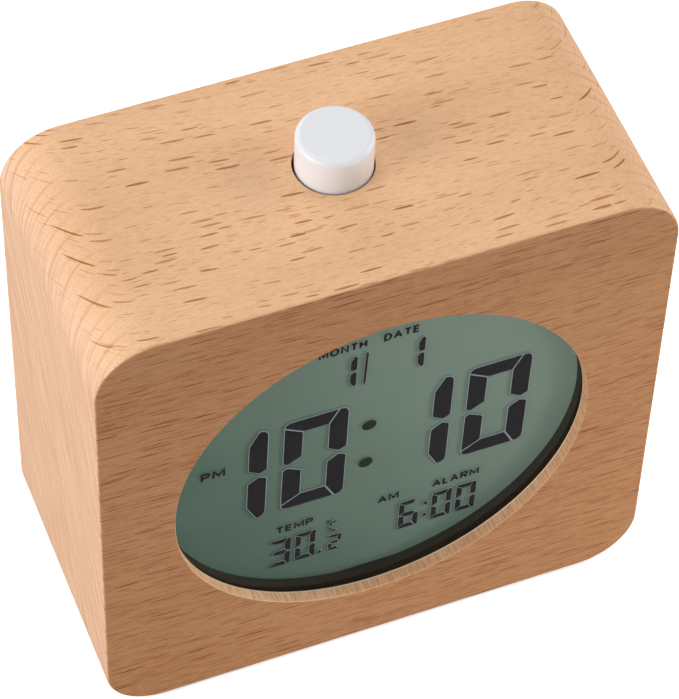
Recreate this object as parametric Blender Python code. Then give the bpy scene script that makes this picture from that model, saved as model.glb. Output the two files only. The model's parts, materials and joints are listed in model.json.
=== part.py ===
"""A desk alarm clock: a solid beech block with a round display window and a snooze button on top.

Metres, +Z up. The origin is on the table under the middle of the block. The display faces -Y,
and +X is to the right of someone who reads it. The clock comes apart from the back: screws, back
cover with the batteries and keys, main board, display, lens, and last the wooden block.
"""

import math

import bmesh
import bpy
from mathutils import Vector

MM = 0.001
GAP = 0.3 * MM  # clearance between neighbouring pieces

# Wooden block, lifted by its feet.
CASE_SIDE = 100 * MM
CASE_DEPTH = 48 * MM
CASE_CORNER = 10.5 * MM
CASE_EASING = 0.4 * MM
FOOT_LIFT = 0.6 * MM
FOOT_RADIUS = 4.5 * MM
FOOT_THICKNESS = 1.1 * MM
FOOT_PLACE = (32 * MM, 14 * MM)

# Round window and the hollow behind it.
WINDOW_RADIUS = 37.0 * MM
WINDOW_WALL = 2.0 * MM
CAVITY_SIDE = 80 * MM
CAVITY_CORNER = 8 * MM
REBATE_SIDE = 88 * MM
REBATE_CORNER = 7 * MM
REBATE_DEPTH = 3 * MM

# Display stack, front to back.
LENS_THICKNESS = 1.2 * MM
BEZEL_PLATE = 1.7 * MM
BEZEL_RADIUS = 37.5 * MM
BEZEL_SKIRT = 0.9 * MM
LCD_SHEET = 1.1 * MM
LCD_LEDGE = 4 * MM
FILM_THICKNESS = 0.3 * MM
GUIDE_THICKNESS = 2.5 * MM
GUIDE_SIZE = (74 * MM, 64 * MM)
LED_WIDTH = 2.2 * MM
HOLDER_DEPTH = 5.8 * MM
HOLDER_FLOOR = 1 * MM
HOLDER_BOSS = (31 * MM, 26 * MM)
BOARD_THICKNESS = 1.6 * MM
STRIP_WIDTH = 2 * MM
STRIP_LENGTH = 68 * MM

# Snooze button, its return spring and the bracket under it.
SNOOZE_PLACE = (-0.5 * MM, 1.2 * MM)
SNOOZE_RADIUS = 6.5 * MM
SNOOZE_HOLE = 6.8 * MM
SNOOZE_HOLE_PLACE = (-0.6 * MM, 1.2 * MM)  # drilled a little to the left of the button
SNOOZE_PROUD = 7.1 * MM
SNOOZE_RIM = 1 * MM
SNOOZE_FLANGE = 7.9 * MM
SNOOZE_TRAVEL = 1.2 * MM
SNOOZE_COIL_RADIUS = 5.4 * MM
SNOOZE_WIRE = 0.3 * MM
BRACKET_HALF = (10 * MM, 7 * MM)
BRACKET_WALL = 1.5 * MM
BRACKET_EAR = 5.5 * MM
BRACKET_DROP = 12.2 * MM

# Back cover, battery box and door.
COVER_THICKNESS = 2.3 * MM
COVER_RECESS = 0.4 * MM
COVER_SCREW = 39.8 * MM
BATTERY_RADIUS = 5.25 * MM
BATTERY_LENGTH = 44.5 * MM
BATTERY_PITCH = 11.4 * MM
BOX_WALL = 1.5 * MM
BOX_DEPTH = 12.8 * MM
BOX_HALF_LENGTH = 27 * MM
BOX_BELOW = 20 * MM  # from the middle of the block down to the middle of the box
DOOR_THICKNESS = 1.8 * MM
TAB_WIDTH = 3 * MM
TAB_PLACE = 24.5 * MM
CONTACT_THICKNESS = 0.4 * MM

# Keys on the back.
KEY_NAMES = ("time_button", "alarm_button", "up_button", "down_button")
KEY_PLACES = tuple(x * MM for x in (-28, -14, 0, 14))
KEY_ABOVE = 27 * MM
KEY_RADIUS = 3.5 * MM
KEY_FLANGE = 4.6 * MM
KEY_TRAVEL = 0.8 * MM
KEY_PROUD = 0.3 * MM
SLIDER_PLACE = 27 * MM
SLIDER_TRAVEL = 3 * MM
SLIDER_KNOB = (4 * MM, 3 * MM)
SWITCH_SIDE = 6 * MM
SWITCH_BODY = 3.5 * MM
SWITCH_PLUNGER = 0.6 * MM
STOP_GAP = 0.1 * MM  # left between a pressed key and its switch
KEY_BOARD_THICKNESS = 1.4 * MM
BUZZER_RADIUS = 10 * MM
BUZZER_DEPTH = 5.5 * MM
BUZZER_ABOVE = 6 * MM
CABLE_THICKNESS = 0.4 * MM

# Heights and depths that follow from these.
MIDDLE = FOOT_LIFT + CASE_SIDE / 2
TOP = FOOT_LIFT + CASE_SIDE
FRONT = -CASE_DEPTH / 2
BACK = CASE_DEPTH / 2
CAVITY_FRONT = FRONT + WINDOW_WALL
LENS_FRONT = CAVITY_FRONT + GAP
BEZEL_FRONT = LENS_FRONT + LENS_THICKNESS + GAP
LCD_FRONT = BEZEL_FRONT + BEZEL_PLATE + GAP
LCD_BACK = LCD_FRONT + 2 * LCD_SHEET
FILM_FRONT = LCD_BACK + GAP
HOLDER_FRONT = FILM_FRONT + FILM_THICKNESS + GAP
HOLDER_BACK = HOLDER_FRONT + HOLDER_DEPTH
BOARD_FRONT = HOLDER_BACK + GAP
BOARD_BACK = BOARD_FRONT + BOARD_THICKNESS
LINER_SIDE = CAVITY_SIDE - 0.8 * MM
STACK_SIDE = LINER_SIDE - 2 * BEZEL_SKIRT - 2 * GAP
COVER_BACK = BACK - COVER_RECESS
COVER_FRONT = COVER_BACK - COVER_THICKNESS
BOX_FRONT = COVER_FRONT - BOX_DEPTH
BOX_MIDDLE = MIDDLE - BOX_BELOW
BOX_HALF_HEIGHT = BATTERY_PITCH / 2 + BATTERY_RADIUS + 0.4 * MM
BATTERY_DEPTH = BOX_FRONT + BOX_WALL + BATTERY_RADIUS + 0.35 * MM
KEY_HEIGHT = MIDDLE + KEY_ABOVE
CAVITY_TOP = MIDDLE + CAVITY_SIDE / 2

# Colour, roughness and metallic value of each finish.
FINISHES = {
    "beech": ((0.70, 0.45, 0.26), 0.55, 0.0),
    "white_plastic": ((0.83, 0.83, 0.82), 0.35, 0.0),
    "black_plastic": ((0.02, 0.02, 0.015), 0.5, 0.0),
    "clear_plastic": ((0.85, 0.88, 0.88), 0.05, 0.0),
    "display_glass": ((0.20, 0.27, 0.22), 0.1, 0.0),
    "reflector": ((0.45, 0.48, 0.42), 0.4, 0.0),
    "light_source": ((0.9, 0.85, 0.55), 0.3, 0.0),
    "conductive_rubber": ((0.55, 0.25, 0.32), 0.7, 0.0),
    "circuit_board": ((0.02, 0.16, 0.06), 0.4, 0.0),
    "component": ((0.015, 0.015, 0.017), 0.35, 0.0),
    "steel": ((0.55, 0.55, 0.56), 0.3, 1.0),
    "nickel": ((0.72, 0.70, 0.66), 0.2, 1.0),
    "battery_sleeve": ((0.04, 0.09, 0.16), 0.35, 0.3),
    "red_wire": ((0.55, 0.02, 0.02), 0.45, 0.0),
    "black_wire": ((0.02, 0.02, 0.02), 0.45, 0.0),
    "grey_wire": ((0.4, 0.4, 0.42), 0.5, 0.0),
    "soft_rubber": ((0.06, 0.06, 0.065), 0.8, 0.0),
}


def clear_scene():
    for obj in list(bpy.data.objects):
        bpy.data.objects.remove(obj, do_unlink=True)


def paint(obj, finish):
    colour, roughness, metallic = FINISHES[finish]
    material = bpy.data.materials.new(f"{obj.name}_{finish}")
    material.use_nodes = True
    shader = material.node_tree.nodes["Principled BSDF"]
    shader.inputs["Base Color"].default_value = (*colour, 1.0)
    shader.inputs["Roughness"].default_value = roughness
    shader.inputs["Metallic"].default_value = metallic
    obj.data.materials.append(material)


def add_object(name, data, origin, finish):
    obj = bpy.data.objects.new(name, data)
    obj.location = origin
    bpy.context.scene.collection.objects.link(obj)
    paint(obj, finish)
    return obj


def add_mesh(name, points, faces, finish, origin=(0.0, 0.0, 0.0)):
    """A closed mesh from world-space points, with its faces turned outwards."""
    origin = Vector(origin)
    mesh = bpy.data.meshes.new(name)
    mesh.from_pydata([Vector(point) - origin for point in points], [], faces)
    work = bmesh.new()
    work.from_mesh(mesh)
    bmesh.ops.recalc_face_normals(work, faces=work.faces)
    work.to_mesh(mesh)
    work.free()
    return add_object(name, mesh, origin, finish)


def on_axis(axis, u, v, height):
    """A point with its height along the axis, and u and v on the other two axes in X, Y, Z order."""
    return {"X": (height, u, v), "Y": (u, height, v), "Z": (u, v, height)}[axis]


def rounded_rectangle(width, height, radius, centre=(0.0, 0.0), steps=6):
    points = []
    for quarter, (side_u, side_v) in enumerate(((1, 1), (-1, 1), (-1, -1), (1, -1))):
        corner_u = centre[0] + side_u * (width / 2 - radius)
        corner_v = centre[1] + side_v * (height / 2 - radius)
        for step in range(steps + 1):
            angle = math.pi / 2 * (quarter + step / steps)
            points.append((corner_u + radius * math.cos(angle), corner_v + radius * math.sin(angle)))
    return points


def rectangle(width, height, centre=(0.0, 0.0)):
    u, v = centre
    return [(u + i * width / 2, v + j * height / 2) for i, j in ((1, 1), (-1, 1), (-1, -1), (1, -1))]


def circle(radius, centre=(0.0, 0.0), steps=24):
    angles = [math.tau * step / steps for step in range(steps)]
    return [(centre[0] + radius * math.cos(a), centre[1] + radius * math.sin(a)) for a in angles]


def slab(name, outline, axis, low, high, finish, origin=(0.0, 0.0, 0.0), easing=0.0):
    """The outline pushed along an axis from low to high, with its edges eased if asked."""
    count = len(outline)
    points = [on_axis(axis, u, v, height) for height in (low, high) for u, v in outline]
    faces = [list(range(count)), list(range(count, 2 * count))]
    for i in range(count):
        j = (i + 1) % count
        faces.append([i, j, count + j, count + i])
    obj = add_mesh(name, points, faces, finish, origin)
    if easing:
        ease(obj, easing)
    return obj


def ease(obj, width, segments=1):
    bevel = obj.modifiers.new("easing", "BEVEL")
    bevel.width = width
    bevel.segments = segments
    bevel.limit_method = "ANGLE"
    bevel.angle_limit = math.radians(40)


def turned(name, profile, axis, centre, finish, steps=24):
    """A solid of revolution. Its profile runs from pole to pole as (radius, height from centre)."""
    points = []
    rings = []
    middle = Vector(centre)
    for radius, height in profile:
        count = 1 if radius == 0 else steps
        rings.append(list(range(len(points), len(points) + count)))
        ring = circle(radius, steps=count)
        points += [middle + Vector(on_axis(axis, u, v, height)) for u, v in ring]
    faces = []
    for near, far in zip(rings, rings[1:]):
        for i in range(steps):
            j = (i + 1) % steps
            corners = [near[i % len(near)], near[j % len(near)], far[j % len(far)], far[i % len(far)]]
            faces.append(list(dict.fromkeys(corners)))
    obj = add_mesh(name, points, faces, finish, middle)
    obj.data.shade_smooth()
    obj.data.set_sharp_from_angle(angle=math.radians(40))
    return obj


def pin(name, radius, axis, centre, length, finish="steel", steps=24):
    """A plain round bar that starts at centre and runs along the axis."""
    return turned(name, [(0, 0), (radius, 0), (radius, length), (0, length)], axis, centre, finish, steps)


def wire(name, points, radius, finish, sides=6):
    """A round wire along world-space points, closed at both ends."""
    curve = bpy.data.curves.new(name, "CURVE")
    curve.dimensions = "3D"
    curve.bevel_depth = radius
    curve.bevel_resolution = (sides - 4) // 2
    curve.use_fill_caps = True
    spline = curve.splines.new("POLY")
    spline.points.add(len(points) - 1)
    for spot, point in zip(spline.points, points):
        spot.co = (*point, 1.0)
    return add_object(name, curve, (0.0, 0.0, 0.0), finish)


def smooth_route(route, steps=4):
    """Points on a smooth curve through all the route's own points (Catmull-Rom)."""
    knots = [Vector(point) for point in route]
    knots = [2 * knots[0] - knots[1], *knots, 2 * knots[-1] - knots[-2]]
    points = []
    for a, b, c, d in zip(knots, knots[1:], knots[2:], knots[3:]):
        for step in range(steps):
            t = step / steps
            even = 2 * b + (c - a) * t
            odd = (2 * a - 5 * b + 4 * c - d) * t**2 + (3 * b - a - 3 * c + d) * t**3
            points.append((even + odd) / 2)
    return [*points, knots[-2]]


def coil(turns, start_radius, end_radius, length, steps):
    """Points of a helix that starts at the origin's height and climbs by length."""
    count = round(turns * steps)
    points = []
    for step in range(count + 1):
        share = step / count
        angle = math.tau * turns * share
        radius = start_radius + (end_radius - start_radius) * share
        points.append((radius * math.cos(angle), radius * math.sin(angle), length * share))
    return points


def boolean(obj, helpers, operation):
    for helper in helpers:
        helper.hide_render = True
        helper.display_type = "WIRE"
        modifier = obj.modifiers.new(helper.name, "BOOLEAN")
        modifier.operation = operation
        modifier.solver = "EXACT"
        modifier.object = helper


def cut(obj, *helpers):
    boolean(obj, helpers, "DIFFERENCE")


def fuse(obj, *helpers):
    boolean(obj, helpers, "UNION")


def corners(u, v):
    return [(-u, -v), (u, -v), (-u, v), (u, v)]


def make_case():
    outline = rounded_rectangle(CASE_SIDE, CASE_SIDE, CASE_CORNER, (0, MIDDLE), steps=10)
    case = slab("wood_case", outline, "Y", FRONT, BACK, "beech", easing=CASE_EASING)
    window = slab("cut_window", circle(WINDOW_RADIUS, (0, MIDDLE), 72), "Y",
                  FRONT - 1 * MM, CAVITY_FRONT + 1 * MM, "beech")
    hollow = slab("cut_hollow", rounded_rectangle(CAVITY_SIDE, CAVITY_SIDE, CAVITY_CORNER, (0, MIDDLE)),
                  "Y", CAVITY_FRONT, BACK + 1 * MM, "beech")
    rebate = slab("cut_rebate", rounded_rectangle(REBATE_SIDE, REBATE_SIDE, REBATE_CORNER, (0, MIDDLE)),
                  "Y", BACK - REBATE_DEPTH, BACK + 1 * MM, "beech")
    button_hole = slab("cut_button", circle(SNOOZE_HOLE, SNOOZE_HOLE_PLACE, 40), "Z",
                       CAVITY_TOP - 1 * MM, TOP + 1 * MM, "beech")
    cut(case, window, hollow, rebate, button_hole)
    for number, (x, z) in enumerate(corners(COVER_SCREW, COVER_SCREW), 1):
        cut(case, pin(f"cut_pilot_{number}", 1.5 * MM, "Y", (x, 9 * MM, MIDDLE + z), 14 * MM, steps=12))
    for number, (x, y) in enumerate(corners(*FOOT_PLACE), 1):
        recess = pin(f"cut_foot_{number}", FOOT_RADIUS + GAP, "Z", (x, y, -1 * MM),
                     FOOT_THICKNESS + GAP + 1 * MM)
        cut(case, recess)
        make_foot(number, x, y)
    for number, x in enumerate(bracket_screw_places(), 1):
        cut(case, pin(f"cut_bracket_{number}", 1.3 * MM, "Z", (x, SNOOZE_PLACE[1], CAVITY_TOP - 1 * MM),
                      7 * MM, steps=12))


def make_foot(number, x, y):
    edge = 0.2 * MM
    profile = [(0, 0), (FOOT_RADIUS - edge, 0), (FOOT_RADIUS, edge), (FOOT_RADIUS, FOOT_THICKNESS),
               (0, FOOT_THICKNESS)]
    turned(f"foot_{number}", profile, "Z", (x, y, 0), "soft_rubber")


def make_lens():
    outline = rounded_rectangle(LINER_SIDE, LINER_SIDE, CAVITY_CORNER - GAP, (0, MIDDLE))
    slab("front_lens", outline, "Y", LENS_FRONT, LENS_FRONT + LENS_THICKNESS, "clear_plastic")


def make_bezel():
    """A black tray: its floor has the round opening, and its skirt runs back round the display."""
    outline = rounded_rectangle(LINER_SIDE, LINER_SIDE, CAVITY_CORNER - GAP, (0, MIDDLE))
    bezel = slab("display_bezel", outline, "Y", BEZEL_FRONT, HOLDER_BACK, "black_plastic")
    opening = slab("cut_opening", circle(BEZEL_RADIUS, (0, MIDDLE), 72), "Y",
                   BEZEL_FRONT - 1 * MM, BEZEL_FRONT + 2 * MM, "black_plastic")
    inside = LINER_SIDE - 2 * BEZEL_SKIRT
    tray = slab("cut_tray", rounded_rectangle(inside, inside, CAVITY_CORNER - 1.2 * MM, (0, MIDDLE)), "Y",
                BEZEL_FRONT + BEZEL_PLATE, HOLDER_BACK + 1 * MM, "black_plastic")
    cut(bezel, tray, opening)


def make_display():
    """Two sheets of glass, the rear one shorter, so that its connectors reach the front sheet's edges."""
    half = STACK_SIDE / 2
    step = half - LCD_LEDGE
    middle = LCD_FRONT + LCD_SHEET
    outline = [(LCD_FRONT, MIDDLE - half), (middle, MIDDLE - half), (middle, MIDDLE - step),
               (LCD_BACK, MIDDLE - step), (LCD_BACK, MIDDLE + step), (middle, MIDDLE + step),
               (middle, MIDDLE + half), (LCD_FRONT, MIDDLE + half)]
    panel = slab("lcd_panel", outline, "X", -half, half, "display_glass")
    trim = slab("keep_corners", rounded_rectangle(STACK_SIDE, STACK_SIDE, 6 * MM, (0, MIDDLE)), "Y",
                LCD_FRONT - 1 * MM, LCD_BACK + 1 * MM, "display_glass")
    boolean(panel, [trim], "INTERSECT")
    film = rectangle(STACK_SIDE - 8 * MM, 2 * step - 2 * GAP, (0, MIDDLE))
    slab("reflector_film", film, "Y", FILM_FRONT, FILM_FRONT + FILM_THICKNESS, "reflector")


def make_backlight():
    """The clear light guide lies in the holder, with one side-facing lamp at its +X end."""
    width, height = GUIDE_SIZE
    lamp_front = HOLDER_FRONT + 0.5 * MM
    guide_width = width - LED_WIDTH - GAP
    guide = rectangle(guide_width, height, (-(width - guide_width) / 2, MIDDLE))
    slab("light_guide", guide, "Y", HOLDER_FRONT, HOLDER_FRONT + GUIDE_THICKNESS, "clear_plastic")
    lamp = rectangle(LED_WIDTH, 6 * MM, (width / 2 - LED_WIDTH / 2, MIDDLE))
    slab("backlight_led", lamp, "Y", lamp_front, lamp_front + 1.7 * MM, "light_source")


def strip_offset():
    """From the middle of the display to the middle of each connector strip, in the glass ledge."""
    return STACK_SIDE / 2 - LCD_LEDGE / 2


def make_holder():
    """The white frame that carries the light guide in front and the main board behind."""
    width, height = GUIDE_SIZE
    outline = rounded_rectangle(STACK_SIDE, STACK_SIDE, 6 * MM, (0, MIDDLE))
    holder = slab("lcd_holder", outline, "Y", HOLDER_FRONT, HOLDER_BACK, "white_plastic")
    floor_front = HOLDER_FRONT + GUIDE_THICKNESS + GAP
    pocket = slab("cut_pocket", rectangle(width + 2 * GAP, height + 2 * GAP, (0, MIDDLE)), "Y",
                  HOLDER_FRONT - 1 * MM, floor_front, "white_plastic")
    well = slab("cut_well", rectangle(width - 4 * MM, height - 4 * MM, (0, MIDDLE)), "Y",
                floor_front + HOLDER_FLOOR, HOLDER_BACK + 1 * MM, "white_plastic")
    cut(holder, pocket, well)
    for side in (-1, 1):
        height = MIDDLE + side * strip_offset()
        slot = slab(f"cut_strip_{side}", rectangle(STRIP_LENGTH + 2 * GAP, STRIP_WIDTH + 2 * GAP, (0, height)),
                    "Y", HOLDER_FRONT - 1 * MM, HOLDER_BACK + 1 * MM, "white_plastic")
        cut(holder, slot)
    for number, (x, z) in enumerate(corners(*HOLDER_BOSS), 1):
        start = floor_front + HOLDER_FLOOR / 2
        fuse(holder, pin(f"boss_{number}", 3 * MM, "Y", (x, start, MIDDLE + z), HOLDER_BACK - start,
                         steps=16))
        cut(holder, pin(f"cut_boss_{number}", 1.2 * MM, "Y", (x, floor_front + 0.4 * MM, MIDDLE + z),
                        6 * MM, steps=12))


def make_strips():
    for name, side in (("connector_strip_top", 1), ("connector_strip_bottom", -1)):
        outline = rectangle(STRIP_LENGTH, STRIP_WIDTH, (0, MIDDLE + side * strip_offset()))
        slab(name, outline, "Y", LCD_FRONT + LCD_SHEET + GAP, HOLDER_BACK, "conductive_rubber")


def make_screw(name, axis_tip, direction, shank, length, head, head_height):
    """A cross-headed screw along Y or Z. Its shank starts at axis_tip, and its head is at the far end."""
    axis, sign = direction
    recess_depth = 0.6 * head_height
    profile = [(0, 0), (shank * 0.5, 0), (shank, shank), (shank, length), (head, length),
               (head, length + 0.5 * head_height), (head * 0.75, length + head_height),
               (0, length + head_height)]
    profile = [(radius, sign * height) for radius, height in profile]
    screw = turned(name, profile, axis, axis_tip, "steel", steps=12)
    tip = Vector(axis_tip)
    top = length + head_height
    for number, (wide, tall) in enumerate(((1.1, 0.28), (0.28, 1.1)), 1):
        u, v = {"Y": (tip.x, tip.z), "Z": (tip.x, tip.y)}[axis]
        start = {"Y": tip.y, "Z": tip.z}[axis]
        low, high = sorted((start + sign * (top - recess_depth), start + sign * (top + 1 * MM)))
        slot = slab(f"cut_{name}_{number}", rectangle(wide * head, tall * head, (u, v)), axis, low, high,
                    "steel")
        cut(screw, slot)
    return screw


def make_main_board():
    outline = rounded_rectangle(STACK_SIDE, STACK_SIDE, 3 * MM, (0, MIDDLE), steps=3)
    board = slab("main_board", outline, "Y", BOARD_FRONT, BOARD_BACK, "circuit_board")
    for number, (x, z) in enumerate(corners(*HOLDER_BOSS), 1):
        spot = (x, HOLDER_FRONT + GUIDE_THICKNESS + GAP + 0.7 * MM, MIDDLE + z)
        cut(board, pin(f"cut_board_{number}", 1.3 * MM, "Y", (x, BOARD_FRONT - 1 * MM, MIDDLE + z),
                       4 * MM, steps=12))
        length = BOARD_BACK + GAP - spot[1]
        make_screw(f"board_screw_{number}", spot, ("Y", 1), 0.9 * MM, length, 2 * MM, 1.3 * MM)
    surface = BOARD_BACK + GAP
    blob = [(0, 0), (7 * MM, 0), (6.2 * MM, 0.8 * MM), (4 * MM, 1.5 * MM), (0, 1.8 * MM)]
    turned("controller_chip", blob, "Y", (-8 * MM, surface, MIDDLE - 5 * MM), "component")
    pin("quartz_crystal", 1.5 * MM, "X", (10 * MM, surface + 1.5 * MM, MIDDLE - 4 * MM), 8 * MM, "nickel")
    bead = [(0, 0), (0.4 * MM, 0), (0.4 * MM, 1.6 * MM), (1.2 * MM, 2.6 * MM), (1.2 * MM, 3.6 * MM),
            (0, 4.6 * MM)]
    turned("thermistor", bead, "Y", (24 * MM, surface, MIDDLE - 30 * MM), "component", steps=16)


def bracket_screw_places():
    reach = BRACKET_HALF[0] + BRACKET_WALL + BRACKET_EAR / 2
    return [SNOOZE_PLACE[0] - reach, SNOOZE_PLACE[0] + reach]


def snooze_levels():
    """Heights of the bracket floor, the snooze board and its switch, from the bottom up."""
    floor = CAVITY_TOP - GAP - BRACKET_DROP
    board = floor + BRACKET_WALL + GAP
    switch = board + 1.2 * MM + GAP
    return floor, board, switch


def make_snooze():
    x, y = SNOOZE_PLACE
    floor, board, switch = snooze_levels()
    plunger = switch + SWITCH_BODY + SWITCH_PLUNGER
    stem = plunger + SNOOZE_TRAVEL + STOP_GAP
    flange_top = CAVITY_TOP - GAP
    flange = flange_top - 1.5 * MM
    crown = TOP + SNOOZE_PROUD
    profile = [(0, stem), (2.2 * MM, stem), (2.2 * MM, crown - 1.8 * MM), (4.6 * MM, crown - 1.8 * MM),
               (4.6 * MM, flange), (SNOOZE_FLANGE, flange), (SNOOZE_FLANGE, flange_top),
               (SNOOZE_RADIUS, flange_top)]
    for step in range(4):
        angle = math.pi / 2 * step / 3
        profile.append((SNOOZE_RADIUS - SNOOZE_RIM * (1 - math.cos(angle)),
                        crown - SNOOZE_RIM * (1 - math.sin(angle))))
    profile.append((0, crown))
    profile = [(radius, height - CAVITY_TOP) for radius, height in profile]
    turned("snooze_button", profile, "Z", (x, y, CAVITY_TOP), "white_plastic", steps=32)

    low = switch + SNOOZE_WIRE
    high = flange - GAP - SNOOZE_WIRE
    helix = coil(4, SNOOZE_COIL_RADIUS, SNOOZE_COIL_RADIUS, high - low, steps=12)
    wire("snooze_spring", [(x + a, y + b, low + c) for a, b, c in helix], SNOOZE_WIRE, "nickel")

    make_bracket(x, y, floor)
    slab("snooze_board", rectangle(17 * MM, 13 * MM, (x, y)), "Z", board, board + 1.2 * MM, "circuit_board")
    make_tact_switch("snooze_switch", "Z", 1, (x, y, switch))


def make_bracket(x, y, floor):
    """A hat-shaped strap under the button, with an ear on each side for a screw."""
    half, depth = BRACKET_HALF
    wall = half + BRACKET_WALL
    ear = wall + BRACKET_EAR
    top = CAVITY_TOP - GAP
    right = [(wall, floor), (wall, top - BRACKET_WALL), (ear, top - BRACKET_WALL), (ear, top), (half, top),
             (half, floor + BRACKET_WALL)]
    outline = [(x + u, z) for u, z in right] + [(x - u, z) for u, z in reversed(right)]
    bracket = slab("snooze_bracket", outline, "Y", y - depth, y + depth, "white_plastic")
    for number, screw_x in enumerate(bracket_screw_places(), 1):
        cut(bracket, pin(f"cut_ear_{number}", 1.5 * MM, "Z", (screw_x, y, top - 3 * MM), 5 * MM, steps=12))
        tip = (screw_x, y, CAVITY_TOP + 5 * MM)
        length = 5 * MM + 2 * GAP + BRACKET_WALL
        make_screw(f"bracket_screw_{number}", tip, ("Z", -1), 1 * MM, length, 2.1 * MM, 1.4 * MM)


def make_tact_switch(name, axis, sign, base):
    """A square push switch with its round plunger. It stands on base and points along the axis."""
    spot = Vector(base)
    u, v = {"Y": (spot.x, spot.z), "Z": (spot.x, spot.y)}[axis]
    start = {"Y": spot.y, "Z": spot.z}[axis]
    body = slab(name, rectangle(SWITCH_SIDE, SWITCH_SIDE, (u, v)), axis, start, start + sign * SWITCH_BODY,
                "component", easing=0.3 * MM)
    plunger = pin(f"plunger_{name}", 1.75 * MM, axis, spot,
                  sign * (SWITCH_BODY + SWITCH_PLUNGER), steps=16)
    fuse(body, plunger)


def door_outline():
    width = 2 * (BOX_HALF_LENGTH - GAP)
    return rectangle(width, 2 * (BOX_HALF_HEIGHT - GAP), (0, BOX_MIDDLE))


def make_cover():
    """The back cover with the battery box moulded on its inside."""
    side = REBATE_SIDE - 2 * GAP
    outline = rounded_rectangle(side, side, REBATE_CORNER - GAP, (0, MIDDLE))
    cover = slab("back_cover", outline, "Y", COVER_FRONT, COVER_BACK, "white_plastic", easing=0.25 * MM)
    inner = (2 * BOX_HALF_LENGTH, 2 * BOX_HALF_HEIGHT)
    outer = (inner[0] + 2 * BOX_WALL, inner[1] + 2 * BOX_WALL)
    box = slab("box_walls", rectangle(*outer, (0, BOX_MIDDLE)), "Y", BOX_FRONT, COVER_FRONT + 0.5 * MM,
               "white_plastic")
    fuse(cover, box)
    for number, (x, z) in enumerate(key_board_screws(), 1):
        post_front = key_board_back() + GAP
        fuse(cover, pin(f"post_{number}", 2.6 * MM, "Y", (x, post_front, z),
                        COVER_FRONT + 0.5 * MM - post_front, steps=16))
        cut(cover, pin(f"cut_post_{number}", 1.2 * MM, "Y", (x, post_front - 1 * MM, z), 8 * MM, steps=12))
    hollow = slab("cut_box", rectangle(*inner, (0, BOX_MIDDLE)), "Y", BOX_FRONT + BOX_WALL,
                  COVER_BACK + 1 * MM, "white_plastic")
    cut(cover, hollow)
    cut(cover, *door_slots(), *wire_holes())
    for number, x in enumerate(KEY_PLACES, 1):
        cut(cover, pin(f"cut_key_{number}", KEY_RADIUS + GAP, "Y", (x, COVER_FRONT - 1 * MM, KEY_HEIGHT),
                       5 * MM))
    slider = rectangle(SLIDER_KNOB[0] + SLIDER_TRAVEL + 2 * GAP, SLIDER_KNOB[1] + 2 * GAP,
                       (SLIDER_PLACE, KEY_HEIGHT))
    cut(cover, slab("cut_slider", slider, "Y", COVER_FRONT - 1 * MM, COVER_BACK + 1 * MM, "white_plastic"))
    for number, (x, z) in enumerate(sound_holes(), 1):
        cut(cover, pin(f"cut_sound_{number}", 0.9 * MM, "Y", (x, COVER_FRONT - 1 * MM, z), 5 * MM, steps=12))
    for number, (x, z) in enumerate(corners(COVER_SCREW, COVER_SCREW), 1):
        make_cover_screw(cover, number, x, MIDDLE + z)


def sound_holes():
    middle = MIDDLE + BUZZER_ABOVE
    ring = [math.tau * step / 6 for step in range(6)]
    around = [(4 * MM * math.cos(a), middle + 4 * MM * math.sin(a)) for a in ring]
    return [(0, middle), *around]


def door_slots():
    """Openings in the box's lower wall for the two door tabs, and in its upper wall for the latch."""
    slots = []
    for side in (-1, 1):
        across = (side * TAB_PLACE, BOX_MIDDLE - BOX_HALF_HEIGHT - BOX_WALL / 2)
        slots.append(slab(f"cut_tab_{side}", rectangle(TAB_WIDTH + 2 * GAP, 2 * BOX_WALL, across), "Y",
                          COVER_FRONT - 2.4 * MM, COVER_FRONT, "white_plastic"))
    return slots


def wire_holes():
    holes = []
    for number, z in enumerate(battery_heights(), 1):
        holes.append(pin(f"cut_wire_{number}", 1.1 * MM, "X", (-BOX_HALF_LENGTH - 3 * MM, BATTERY_DEPTH, z),
                         4 * MM, "white_plastic", steps=12))
    return holes


def make_cover_screw(cover, number, x, z):
    head = COVER_BACK - 1.5 * MM
    cut(cover, pin(f"cut_shank_{number}", 1.6 * MM, "Y", (x, COVER_FRONT - 1 * MM, z), 5 * MM, steps=12))
    cut(cover, pin(f"cut_head_{number}", 2.9 * MM, "Y", (x, head, z), 3 * MM))
    tip = 11 * MM
    make_screw(f"cover_screw_{number}", (x, tip, z), ("Y", 1), 1.2 * MM, head + GAP - tip, 2.5 * MM,
               1.2 * MM)


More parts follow.
